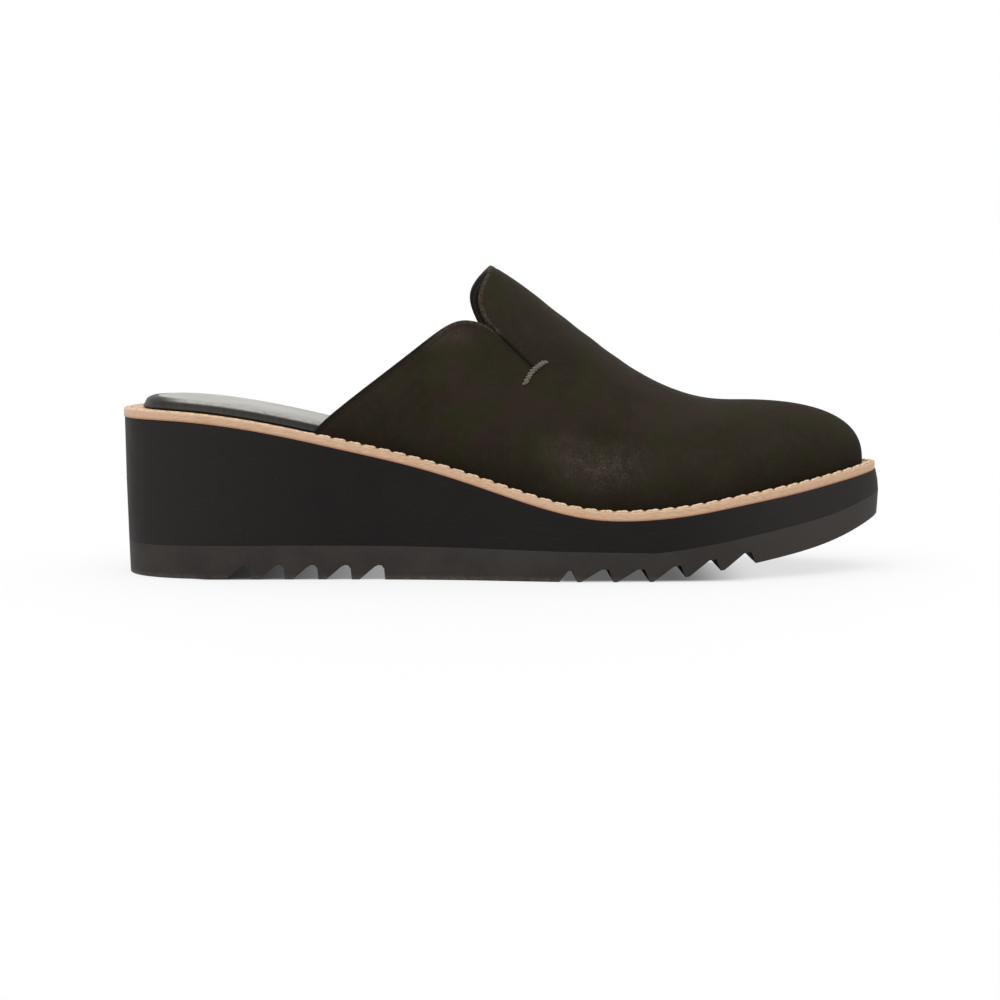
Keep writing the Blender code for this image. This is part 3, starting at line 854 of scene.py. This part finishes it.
def sewn(name, stitch, places, finish):
    """Copies of one stitch joined in a piece; a place is (point, along, up, size)."""
    shape, shape_faces = stitch
    points = []
    faces = []
    for point, along, up, size in places:
        along = along / np.linalg.norm(along)
        side = np.cross(up, along)
        side /= np.linalg.norm(side)
        axes = np.array([along, side, np.cross(along, side)])
        start = len(points) * len(shape)
        points.append(shape * size @ axes + point)
        faces += [tuple(i + start for i in face) for face in shape_faces]
    return solid(name, np.vstack(points), faces, [finish], angle=80)


def build_midsole():
    """The wedge, whose wall swells at half its height, and the plateau inside its rebate."""
    top = raised(midsole_top, SEAM)
    levels = []
    for share in (0, 0.1, 0.25, 0.4, 0.5, 0.6, 0.75, 0.9, 1):
        if share < 0.5:
            inset = mix(MIDSOLE_FOOT_INSET, MIDSOLE_SWELL_INSET, 2 * share)
        else:
            inset = mix(MIDSOLE_SWELL_INSET, MIDSOLE_TOP_INSET, 2 * share - 1)
        levels.append((inset, between(midsole_bottom, top, share)))
    plateau = deeper(WELT_INSET, WELT_WIDTH + SEAT_GAP)
    rings = rounded_wall(levels, CLOSED_EDGE, CLOSED_EDGE)
    rings += [ring(plateau, top), ring(plateau, welt_top)]
    place_in(stack("foam_wedge", rings, [foam()]), "midsole_foam", "midsole")


def gap_outline(start, length, depth, shape):
    """A gap in the tread seen from the side, from below the outsole up into it."""
    x = start + length * shape["length"]
    z = outsole_bottom(x) + depth * shape["depth"]
    return [(x[0], z[0] - depth)] + list(zip(x, z)) + [(x[-1], z[-1] - depth)]


def tread_gaps():
    """The gaps from heel to toe: the notches, the gap that leads in, and those between the teeth."""
    heel = to_x(0.0)
    gaps = []
    for i in range(NOTCH_COUNT):
        start = heel + FIRST_NOTCH + i * NOTCH_PITCH
        gaps.append(gap_outline(start, NOTCH_LENGTH, NOTCH_DEPTH, NOTCH_SHAPE))
    first_land = heel + FIRST_TOOTH - TOOTH_LAND / 2
    gaps.append(gap_outline(first_land - LEAD_GAP_LENGTH, LEAD_GAP_LENGTH, TOOTH_DEPTH, LEAD_GAP_SHAPE))
    for i in range(TOOTH_COUNT - 1):
        start = first_land + TOOTH_LAND + i * TOOTH_PITCH
        gaps.append(gap_outline(start, TOOTH_PITCH - TOOTH_LAND, TOOTH_DEPTH, TOOTH_GAP_SHAPE))
    return gaps


def modify(made, kind, **settings):
    """Gives the piece a modifier of the kind with these settings."""
    change = made.modifiers.new(kind, kind)
    for name, value in settings.items():
        setattr(change, name, value)


def bake(made):
    """Puts the piece's modifiers into its mesh."""
    graph = bpy.context.evaluated_depsgraph_get()
    mesh = bpy.data.meshes.new_from_object(made.evaluated_get(graph))
    made.modifiers.clear()
    old = made.data
    made.data = mesh
    bpy.data.meshes.remove(old)


def build_outsole():
    """The tread: a block with the gaps cut out of it and its edges rounded by wear."""
    top = raised(outsole_top, SEAM)
    levels = []
    for share in (0, 0.5, 1):
        inset = mix(OUTSOLE_FOOT_INSET, OUTSOLE_TOP_INSET, share)
        levels.append((inset, between(outsole_bottom, top, share)))
    # the tool's faces, the gaps' walls, take the darker rubber as painted shade
    finishes = [rubber(), gap_rubber()]
    outsole = stack("outsole_tread", rounded_wall(levels, TREAD_ROUNDING, CLOSED_EDGE, 3), finishes)
    points = []
    faces = []
    reach = 0.6 * BALL_WIDTH
    for gap in tread_gaps():
        start = len(points)
        count = len(gap)
        points += [(x, -reach, z) for x, z in gap] + [(x, reach, z) for x, z in gap]
        faces += bridge(start, start + count, count)
        faces.append(tuple(range(start, start + count)))
        faces.append(tuple(range(start + 2 * count - 1, start + count - 1, -1)))
    tool = solid("tread_tool", points, faces, finishes, [1] * len(faces))
    modify(outsole, "BOOLEAN", operation="DIFFERENCE", solver="EXACT", object=tool)
    modify(
        outsole, "BEVEL", width=LUG_ROUNDING, segments=2, limit_method="ANGLE",
        angle_limit=math.radians(40), use_clamp_overlap=True,
    )
    bake(outsole)
    bpy.data.objects.remove(tool, do_unlink=True)
    outsole.data.set_sharp_from_angle(angle=math.radians(50))
    place_in(outsole, "outsole_rubber", "outsole")


def build_welt():
    """The strip: a trimmed edge, a shallow channel for the stitches, and its hidden inner half."""
    low = 0.4 * WELT_EDGE_ROUNDING
    high = WELT_EDGE_ROUNDING
    section = [(WELT_WIDTH, -WELT_THICKNESS)]
    section += [(low * (1 - s), -WELT_THICKNESS + low * (1 - c)) for s, c in quarter_turn(4)]
    section.append((0.0, -WELT_THICKNESS / 2))
    section += [(high * (1 - c), -high * (1 - s)) for s, c in quarter_turn(4)]
    section += [
        (CHANNEL_INSET - CHANNEL_MOUTH, 0.0),
        (CHANNEL_INSET - CHANNEL_FLOOR, -CHANNEL_DEPTH),
        (CHANNEL_INSET + CHANNEL_FLOOR, -CHANNEL_DEPTH),
        (CHANNEL_INSET + CHANNEL_MOUTH, 0.0),
        (WELT_LEDGE, 0.0),
        (WELT_WIDTH, 0.0),
    ]
    rings = [ring(deeper(WELT_INSET, inset), raised(welt_top, height)) for inset, height in section]
    made = stack("welt_strip", rings, [tan_leather()], capped=False)
    keep_lengths(made, above_welt=np.repeat([height for _, height in section], len(rings[0])))
    place_in(made, "welt_leather", "welt")


def run_along(line):
    """The length from a line's first point to each of its points."""
    return np.append(0, np.cumsum(np.linalg.norm(np.diff(line, axis=0), axis=1)))


def at_lengths(where, run, line):
    """The places at these lengths along a line whose points lie at the lengths in run."""
    return np.column_stack([np.interp(where, run, column) for column in line.T])


def spaced(points, pitch, closed=True):
    """Places along a line at the pitch: points, directions and how far along each is."""
    if closed:
        points = np.vstack([points, points[:1]])
    run = run_along(points)
    count = max(1, int(round(run[-1] / pitch)))
    where = (np.arange(count) + 0.5) * run[-1] / count
    step = 0.3 * pitch
    direction = at_lengths(where + step, run, points) - at_lengths(where - step, run, points)
    return at_lengths(where, run, points), direction, where


def build_welt_stitches():
    """The cream stitches in the channel: sunk where the welt carries no upper, proud along the upper."""
    line = ring(deeper(WELT_INSET, CHANNEL_INSET), welt_top)
    up = np.array([0.0, 0.0, 1.0])
    places = []
    for point, direction in zip(*spaced(line, WELT_STITCH_PITCH)[:2]):
        direction = direction if direction[0] > 0 else -direction
        share = np.clip((to_along(point[0]) - PROUD_START) / PROUD_RAMP, 0, 1)
        lift = -STITCH_SUNK + STITCH_RISE * share
        tilted = direction / np.linalg.norm(direction) + up * STITCH_TILT
        places.append((point + up * lift, tilted, up, 1.0))
    stitch = capsule(WELT_STITCH_PITCH * 0.88, WELT_THREAD, arch=0.22 * MM)
    cream = thread("cream thread", (214, 193, 163), (184, 156, 126))
    place_in(sewn("welt_stitches", stitch, places, cream), "welt_leather")


def build_insole():
    """The footbed: a wrapped edge that leans in at the heel, and a cushion that crowns inside it."""
    foot = deeper(WELT_INSET, WELT_LEDGE + UPPER_WALL + SEAT_GAP)
    lean = deeper(foot, 0.0, INSOLE_HEEL_SLOPE / 2)
    bottom = raised(welt_top, SEAT_GAP)
    top = raised(bottom, INSOLE_THICKNESS)
    shoulder = raised(top, -INSOLE_EDGE_ROUNDING)
    rings = [ring(deeper(foot, 0.4 * MM), bottom), ring(foot, raised(bottom, 0.5 * MM))]
    rings += [ring(mix(foot, lean, share), between(bottom, shoulder, share)) for share in (0.4, 0.7)]
    for s, c in quarter_turn(5):
        inset = deeper(lean, INSOLE_EDGE_ROUNDING * (1 - c), INSOLE_HEEL_SLOPE / 2 * s)
        rings.append(ring(inset, raised(top, -INSOLE_EDGE_ROUNDING * (1 - s))))
    cushion = deeper(foot, INSOLE_EDGE_ROUNDING, INSOLE_HEEL_SLOPE)
    wrapped = len(rings)
    for inset, height in INSOLE_CROWN:
        rings.append(ring(deeper(cushion, inset * MM), raised(top, height * MM)))
    rows = [1] * wrapped + [0] * (len(rings) - wrapped + 1)
    made = stack("insole_board", rings, [insole_cover(), wrap()], rows)
    points = np.vstack(rings)
    keep_lengths(made, above_welt=points[:, 2] - welt_top(points[:, 0]))
    place_in(made, "insole_cover", "insole")


def upper_grid(ribs, steps):
    """The upper's outside on an even grid: rows run from the back to the toe, columns across the foot."""
    _, tip, outer, inner = outline(deeper(WELT_INSET, WELT_LEDGE))
    back = to_x(QUARTER_EDGE["along"][0]) - QUARTER_MARGIN
    foot_x = back + (tip - back) * np.sin(np.linspace(0, math.pi / 2, ribs + 1))
    lean_start = to_x(0.0) + LEAN_START
    lean = np.clip((foot_x - lean_start) / (tip - lean_start), 0, 1) ** 2
    ridge_x = foot_x - TOE_CAP_LENGTH * lean
    foot_z = welt_top(foot_x) + SEAT_GAP
    ridge_z = welt_top(ridge_x) + ridge_rise(to_along(ridge_x))
    ridge_y = ridge_shift(to_along(ridge_x))
    turn = np.linspace(0, math.pi / 2, 6 * steps + 1) ** 1.3 / (math.pi / 2) ** 0.3
    halves = []
    for side, edge, sign in (("outer", outer, -1), ("inner", inner, 1)):
        full = smooth(SECTIONS["along"], SECTIONS[side + "_full"])
        swell = smooth(SECTIONS["along"], SIDE_SWELL * SECTIONS[side + "_swell"])
        share = foot_x / tip * to_x(1.0)
        power = 2 / full(to_along(share))[:, None]
        rise = np.sin(turn)[None, :] ** power
        across = 1 - np.abs(np.cos(turn))[None, :] ** power
        across[:, -1] = 1
        foot_y = edge(foot_x)
        x = foot_x[:, None] + (ridge_x - foot_x)[:, None] * across
        y = foot_y[:, None] + (ridge_y - foot_y)[:, None] * across
        y += sign * swell(to_along(share))[:, None] * np.sin(math.pi * rise)
        z = foot_z[:, None] + (ridge_z - foot_z)[:, None] * rise
        fine = np.stack([x, y, z], axis=-1)
        runs = [run_along(rib) for rib in fine]
        halves.append(np.array([
            at_lengths(np.linspace(0, run[-1], steps + 1), run, rib) for run, rib in zip(runs, fine)
        ]))
    return np.concatenate([halves[0], halves[1][:, -2::-1]], axis=1)


def unit(vectors):
    """The rows made 1 long."""
    return vectors / np.maximum(np.linalg.norm(vectors, axis=1), 1e-15)[:, None]


class Upper:
    """The upper's outside over flat pattern coordinates in metres, along the feather and across."""

    def __init__(self):
        self.grid = upper_grid(UPPER_RIBS, UPPER_STEPS)
        self.ribs = UPPER_RIBS
        self.columns = 2 * UPPER_STEPS
        self.run = run_along(self.grid[:, 0])
        # the pattern is as wide as a rib through the instep is long
        self.half = np.linalg.norm(np.diff(self.grid[INSTEP_RIB], axis=0), axis=1).sum() / 2
        self.bend = np.gradient(self.grid, axis=0), np.gradient(self.grid, axis=1)
        flat = self.grid.reshape(-1, 3)
        wide = self.columns + 1
        triangles = []
        for i in range(self.ribs):
            for j in range(self.columns):
                a = i * wide + j
                triangles.append((a, a + wide, a + wide + 1))
                triangles.append((a, a + wide + 1, a + 1))
        self.triangles = triangles
        self.tree = BVHTree.FromPolygons([Vector(p) for p in flat], triangles, all_triangles=True)

    def pattern(self, row, column):
        """The pattern place of a grid place given in rows and columns."""
        along = np.interp(row, np.arange(self.ribs + 1), self.run)
        return along, (column / self.columns * 2 - 1) * self.half

    def sample(self, grid, place):
        row = np.interp(place[:, 0], self.run, np.arange(self.ribs + 1))
        column = (place[:, 1] / self.half + 1) / 2 * self.columns
        i = np.clip(row.astype(int), 0, self.ribs - 1)
        j = np.clip(column.astype(int), 0, self.columns - 1)
        a = (row - i)[:, None]
        b = (column - j)[:, None]
        return (
            grid[i, j] * (1 - a) * (1 - b) + grid[i + 1, j] * a * (1 - b)
            + grid[i, j + 1] * (1 - a) * b + grid[i + 1, j + 1] * a * b
        )

    def at(self, place):
        return self.sample(self.grid, place)

    def normal(self, place):
        return unit(np.cross(self.sample(self.bend[0], place), self.sample(self.bend[1], place)))

    def struck(self, start, direction):
        """The pattern place where a ray first meets the upper, if it does."""
        hit, _, face, _ = self.tree.ray_cast(Vector(start), Vector(direction))
        if hit is None:
            return None
        corner, second, third = (self.grid.reshape(-1, 3)[k] for k in self.triangles[face])
        e = second - corner
        f = third - corner
        d = np.array(hit) - corner
        b, c = np.linalg.solve(np.array([[e @ e, e @ f], [e @ f, f @ f]]), np.array([e @ d, f @ d]))
        i, j = divmod(face // 2, self.columns)
        if face % 2 == 0:
            return self.pattern(i + b + c, j + c)
        return self.pattern(i + b, j + b + c)


def side_view(along, rise, forward, lower, side):
    """Where a place on the opening's edge lies in the side view, on the outer (0) or the inner side (1)."""
    x = to_x(along)
    z = welt_top(x) + INSTEP_HEIGHT * rise
    return x + side * INNER_SHIFT * forward, z - side * INNER_DROP * lower


def edge_points(edge, steps, side):
    run = np.hypot(np.diff(edge["along"]) * LENGTH, np.diff(edge["rise"]) * INSTEP_HEIGHT)
    knots = np.append(0, np.cumsum(run))
    where = np.linspace(0, knots[-1], steps + 1)
    columns = [smooth(knots, column)(where) for column in edge.values()]
    return np.column_stack(side_view(*columns, side))


def slit_end(side):
    end = np.array(side_view(*SLIT_END, side))
    mouth = edge_points(TAB_EDGE, 2, side)[0]
    run = end - mouth
    across = np.array([run[1], -run[0]]) / np.hypot(*run) * SLIT_WIDTH
    return np.array([end + across * 0.5, end])


def side_line(side):
    """The opening's edge in the side view, along the quarter, the slit and the tab, and the tab's alone."""
    quarter = edge_points(QUARTER_EDGE, EDGE_STEPS, side)
    tab = edge_points(TAB_EDGE, EDGE_STEPS, side)
    low, high = slit_end(side)
    down = np.linspace(quarter[-1], low, SLIT_STEPS)[1:]
    up = np.linspace(high, tab[0], SLIT_STEPS)[:-1]
    return np.vstack([quarter, down, up, tab]), tab


def over_ridge(upper, across, outer_tab, inner_tab):
    """The tab's edge over the ridge, found for each place across the pattern by halving."""
    over = []
    for v in across:
        low, high = upper.run[0], upper.run[upper.ribs // 2]
        for _ in range(40):
            middle = (low + high) / 2
            x, y, z = upper.at(np.array([[middle, v]]))[0]
            share = (y + TOPLINE_SPREAD / 2) / TOPLINE_SPREAD
            profile = outer_tab + (inner_tab - outer_tab) * share
            if x < np.interp(z, profile[:, 1], profile[:, 0]):
                low = middle
            else:
                high = middle
        over.append((middle, v))
    return over


def opening_line(upper):
    """The opening's edge as pattern places, from the feather on the outer side round to the inner side."""
    outer_line, outer_tab = side_line(0)
    inner_line, inner_tab = side_line(1)
    # straight lines through both sides' edges start and end one ball's width from the middle
    reach = BALL_WIDTH
    spread = (inner_line - outer_line) * ((reach - TOPLINE_SPREAD / 2) / TOPLINE_SPREAD)
    near = outer_line - spread
    far = inner_line + spread
    crown = CROWN_SHARE * upper.half
    sides = []
    for starts, aims, from_y in ((near, far, -reach), (far, near, reach)):
        line = []
        for (x, z), (to, top) in zip(starts, aims):
            start = np.array([x, from_y, z])
            aim = np.array([to, -from_y, top]) - start
            place = upper.struck(start, aim / np.linalg.norm(aim))
            if place is None or place[1] * from_y < 0:
                if line:
                    break
                continue
            if abs(place[1]) < crown:
                break
            line.append(place)
        sides.append(np.array(line))
    outer, inner = sides
    across = np.linspace(outer[-1][1], inner[-1][1], 60)[1:-1]
    over = over_ridge(upper, across, outer_tab, inner_tab)
    # both ends are carried on to the feather
    for line in (outer, inner):
        if abs(line[0][1]) < upper.half:
            first, second = line[0], line[2]
            edge = math.copysign(upper.half, first[1])
            share = (edge - first[1]) / (first[1] - second[1])
            line[0] = first + (first - second) * share
            line[0][1] = edge
    return np.vstack([outer, over, inner[::-1]])


def thin(line, gap):
    """The line without points closer together than the gap; its ends stay."""
    kept = [line[0]]
    for point in line[1:-1]:
        if np.hypot(*(point - kept[-1])) >= gap and np.hypot(*(point - line[-1])) >= gap:
            kept.append(point)
    return np.array(kept + [line[-1]])


def distance_to(points, line):
    """Each point's distance to an open line of pattern places."""
    best = np.full(len(points), 1e9)
    for a, b in zip(line[:-1], line[1:]):
        d = b - a
        size = d @ d
        if size == 0:
            continue
        t = np.clip((points - a) @ d / size, 0, 1)
        best = np.minimum(best, np.hypot(*(points - a - t[:, None] * d).T))
    return best


def within(points, border):
    """Whether each point lies inside the closed border."""
    inside = np.zeros(len(points), bool)
    x, y = points.T
    for (ax, ay), (bx, by) in zip(border, np.roll(border, -1, axis=0)):
        if ay != by:
            crosses = (ay > y) != (by > y)
            inside ^= crosses & (x < ax + (y - ay) * (bx - ax) / (by - ay))
    return inside


def beside(line, depth):
    """The line moved into the leather by the depth."""
    d = np.gradient(line, axis=0)
    d /= np.maximum(np.hypot(*d.T), 1e-12)[:, None]
    return line + np.column_stack([d[:, 1], -d[:, 0]]) * depth


def leather_relief(upper, place, from_edge):
    """How far the leather stands out: the turned edge, its stitched groove, and the vamp's soft creases."""
    lift = 0.0
    for height, centre, width in HEM_RELIEF:
        lift = lift + height * np.exp(-((from_edge - centre) / width) ** 2)
    x, y, z = upper.at(place).T
    reach = np.clip((z - welt_top(x) - CREASE_START) / CREASE_RAMP, 0, 1)
    for along, depth, width, slant in CREASES:
        centre = to_x(along) + slant * y
        lift -= depth * reach * np.exp(-((x - centre) / width) ** 2)
    return lift


def pattern_border(upper, opening):
    """The flat pattern's closed border: the outer feather, the toe, the inner feather and the opening."""
    end = upper.run[-1]
    half = upper.half
    outer_foot = np.linspace(opening[0][0], end, FEATHER_STEPS)[1:-1]
    inner_foot = np.linspace(end, opening[-1][0], FEATHER_STEPS)[1:-1]
    return np.vstack([
        opening[:1],
        np.column_stack([outer_foot, np.full(len(outer_foot), -half)]),
        np.column_stack([np.full(TOE_POINTS, end), np.linspace(-half, half, TOE_POINTS)]),
        np.column_stack([inner_foot, np.full(len(inner_foot), half)]),
        opening[:0:-1],
    ])


def cut_pattern(upper, opening, hem):
    """The flat pattern in triangles: its places and faces. They run in rows beside the opening's edge."""
    end = upper.run[-1]
    half = upper.half
    border = pattern_border(upper, opening)
    u, v = np.meshgrid(
        np.arange(PATTERN_PITCH / 2, end, PATTERN_PITCH),
        np.arange(-half + PATTERN_PITCH / 2, half, PATTERN_PITCH),
        indexing="ij",
    )
    even = np.column_stack([u.ravel(), v.ravel()])
    rows = [even[distance_to(even, hem) > (HEM_ROWS[-1] + 0.6) * MM]]
    for depth in HEM_ROWS:
        row = beside(hem, depth * MM)
        rows.append(row[np.abs(distance_to(row, hem) - depth * MM) < 0.12 * MM])
    inside = np.vstack(rows)
    inside = inside[(inside[:, 0] < end - 0.5 * MM) & (np.abs(inside[:, 1]) < half - 0.4 * MM)]
    flat = np.vstack([border, inside[within(inside, border)]])
    count = len(border)
    edges = [(i, (i + 1) % count) for i in range(count)]
    made, _, faces, _, _, _ = delaunay_2d_cdt([Vector(p) for p in flat.tolist()], edges, [], 0, 1e-7)
    place = np.array([tuple(p) for p in made])
    faces = np.array([tuple(f) for f in faces])
    faces = faces[within(place[faces].mean(axis=1), border)]
    ab = place[faces[:, 1]] - place[faces[:, 0]]
    ac = place[faces[:, 2]] - place[faces[:, 0]]
    faces = faces[np.abs(ab[:, 0] * ac[:, 1] - ab[:, 1] * ac[:, 0]) > 1e-11]
    # the toe's middle line is met from each side at the same places, which are joined
    target = np.arange(len(place))
    by_height = {}
    for i in np.where(np.abs(place[:, 0] - end) < 1e-7)[0]:
        target[i] = by_height.setdefault(round(abs(place[i, 1]) * 1e6), i)
    used, faces = np.unique(target[faces], return_inverse=True)
    faces = faces.reshape(-1, 3)
    return place[used], faces[[len(set(face)) == 3 for face in faces.tolist()]]


def vertex_normals(points, faces):
    """The points' normals from the faces around them, which also hold at the toe."""
    first, second, third = (points[faces[:, k]] for k in range(3))
    across = np.cross(second - first, third - first)
    total = np.zeros_like(points)
    for k in range(3):
        np.add.at(total, faces[:, k], across)
    return unit(total)


def turned_out(points, normals):
    """Whether the normals, taken together, point away from the shoe's middle."""
    return (normals * (points - np.array([0, 0, 30 * MM]))).sum() >= 0


def rim_of(faces):
    """The longest open edge of the faces, as points in order."""
    used = {}
    for face in faces:
        for i in range(3):
            used[(face[i], face[(i + 1) % 3])] = True
    follows = {a: b for a, b in used if (b, a) not in used}
    loops = []
    while follows:
        loop = [next(iter(follows))]
        while loop[-1] in follows:
            loop.append(follows.pop(loop[-1]))
        loops.append(loop[:-1])
    return np.array(max(loops, key=len))


def build_upper():
    """The leather, the lining inside it, and a strip across the wall, rounded at the opening."""
    upper = Upper()
    opening = thin(opening_line(upper), 0.16 * MM)
    hem = thin(opening, 0.5 * MM)
    place, faces = cut_pattern(upper, opening, hem)
    outside = upper.at(place)
    normal = vertex_normals(outside, faces)
    if not turned_out(outside, normal):
        faces = faces[:, ::-1]
        normal = -normal
    from_edge = distance_to(place, hem)
    outside = outside + normal * leather_relief(upper, place, from_edge)[:, None]
    inside = outside - normal * UPPER_WALL

    loop = rim_of(faces)
    ahead = outside[np.roll(loop, -1)] - outside[np.roll(loop, 1)]
    away = unit(np.cross(ahead, normal[loop]))
    at_feather = np.abs(place[loop, 1]) > upper.half - 1e-5
    bulge = np.where(at_feather | (from_edge[loop] > 0.5 * MM), 0.0, RIM_BULGE)
    middle = (outside[loop] + inside[loop]) / 2
    reach = (outside[loop] - inside[loop]) / 2
    size = len(outside)
    points = [outside, inside]
    strips = [loop]
    for i in range(1, RIM_STEPS):
        turn = math.pi * i / RIM_STEPS
        points.append(middle + reach * math.cos(turn) + away * (bulge * math.sin(turn))[:, None])
        strips.append(2 * size + (i - 1) * len(loop) + np.arange(len(loop)))
    strips.append(loop + size)
    all_faces = [tuple(f) for f in faces] + [tuple(f[::-1] + size) for f in faces]
    for low, high in zip(strips[:-1], strips[1:]):
        all_faces += zip(low, high, np.roll(high, -1), np.roll(low, -1))
    indices = [0] * len(faces) + [1] * len(faces) + [0] * (RIM_STEPS * len(loop))
    made = solid("upper_leather", np.vstack(points), all_faces, [nubuck(), lining()], indices, angle=60)
    height = outside[:, 2] - welt_top(outside[:, 0])
    rim = np.tile(loop, RIM_STEPS - 1)
    keep_lengths(
        made,
        above_welt=np.concatenate([height, height, height[rim]]),
        from_edge=np.concatenate([from_edge, from_edge, from_edge[rim]]),
    )
    place_in(made, "upper_nubuck", "upper")
    return upper, opening


def build_upper_stitches(upper, opening):
    """A row of small stitches inside the whole opening's edge, each sunk and sized by chance."""
    line = beside(thin(opening, 0.4 * MM), HEM_STITCH_INSET)
    clear = np.abs(distance_to(line, opening) - HEM_STITCH_INSET) < 0.1 * MM
    line = line[clear & (np.abs(line[:, 1]) < upper.half - 1.0 * MM)]
    at = upper.at(line)
    where, along, lengths = spaced(at, HEM_STITCH_PITCH, closed=False)
    up = upper.normal(at_lengths(lengths, run_along(at), line))
    if not turned_out(where, up):
        up = -up
    chance = np.random.default_rng(5)
    depths = chance.uniform(0.10 * MM, 0.24 * MM, len(where))
    sizes = chance.uniform(0.8, 1.1, len(where))
    places = zip(where - up * depths[:, None], along, up, sizes)
    stitch = capsule(HEM_STITCH_PITCH * 0.62, HEM_THREAD, rows=8, around=8, arch=0.12 * MM)
    brown = thread("brown thread", (44, 38, 31), (16, 14, 12))
    place_in(sewn("topline_stitches", stitch, places, brown), "upper_nubuck")


def on_upper(upper, x, z, side):
    """The place and the outward normal where the side view's place meets the upper."""
    place = upper.struck((x, side * BALL_WIDTH, z), (0, -side, 0))
    place = np.array([place])
    normal = upper.normal(place)[0]
    return upper.at(place)[0], normal if normal[1] * side > 0 else -normal


def build_bar_tacks(upper):
    """A short thick twisted stitch across the end of each slit."""
    places = []
    for side in (-1, 1):
        ends = np.array([side_view(*end, (side + 1) / 2) for end in BAR_TACK])
        rows = []
        for share in np.linspace(0, 1, 7):
            x, z = ends[0] + (ends[1] - ends[0]) * share
            bow = math.sin(math.pi * share) * TACK_BOW
            rows.append(on_upper(upper, x - bow, z + bow, side))
        line = np.array([p + n * 0.25 * MM for p, n in rows])
        for point, direction in zip(*spaced(line, TACK_TURN, closed=False)[:2]):
            normal = rows[int(np.argmin(np.linalg.norm(line - point, axis=1)))][1]
            direction = direction / np.linalg.norm(direction)
            across = np.cross(normal, direction)
            places.append((point, direction * 0.80 + across * 0.60 * side, normal, 1.0))
    stitch = capsule(TACK_LENGTH, TACK_THREAD, rows=10, arch=0.12 * MM)
    grey = thread("pale grey thread", (112, 105, 96), (66, 60, 53))
    place_in(sewn("bar_tacks", stitch, places, grey), "upper_nubuck")


def build_set():
    """The floor, the white world, the soft light from above and the camera."""
    mesh = bpy.data.meshes.new("studio_floor")
    s = FLOOR_SIZE
    mesh.from_pydata([(-s, -s, 0), (s, -s, 0), (s, s, 0), (-s, s, 0)], [], [(0, 1, 2, 3)])
    mesh.materials.append(floor_paint())
    add_object("studio_floor", mesh)

    scene = bpy.context.scene
    scene.world = bpy.data.worlds.new("white studio")
    scene.world.use_nodes = True
    background = scene.world.node_tree.nodes["Background"]
    background.inputs["Color"].default_value = (1, 1, 1, 1)
    background.inputs["Strength"].default_value = WORLD_LIGHT

    light = bpy.data.lights.new("top light", "SUN")
    light.energy = LIGHT_POWER
    light.angle = math.radians(LIGHT_WIDTH)
    add_object("top light", light).rotation_euler = Vector(LIGHT_AIM).to_track_quat("-Z", "Y").to_euler()

    lens = bpy.data.cameras.new("camera")
    lens.sensor_width = 36.0
    lens.lens = 36.0 * CAMERA_FOCAL / 1000
    lens.clip_start = 0.05
    lens.clip_end = 200.0
    yaw = math.radians(CAMERA_YAW)
    aim = Vector(CAMERA_AIM)
    place = aim + Vector((math.sin(yaw) * CAMERA_GROUND, -math.cos(yaw) * CAMERA_GROUND, CAMERA_ABOVE))
    scene.camera = add_object("camera", lens)
    scene.camera.location = place
    scene.camera.rotation_euler = (aim - place).to_track_quat("-Z", "Y").to_euler()
    scene.view_settings.view_transform = "Standard"
    scene.view_settings.look = "None"


build_set()
build_midsole()
build_outsole()
build_welt()
build_welt_stitches()
build_insole()
shell, edge_line = build_upper()
build_upper_stitches(shell, edge_line)
build_bar_tacks(shell)
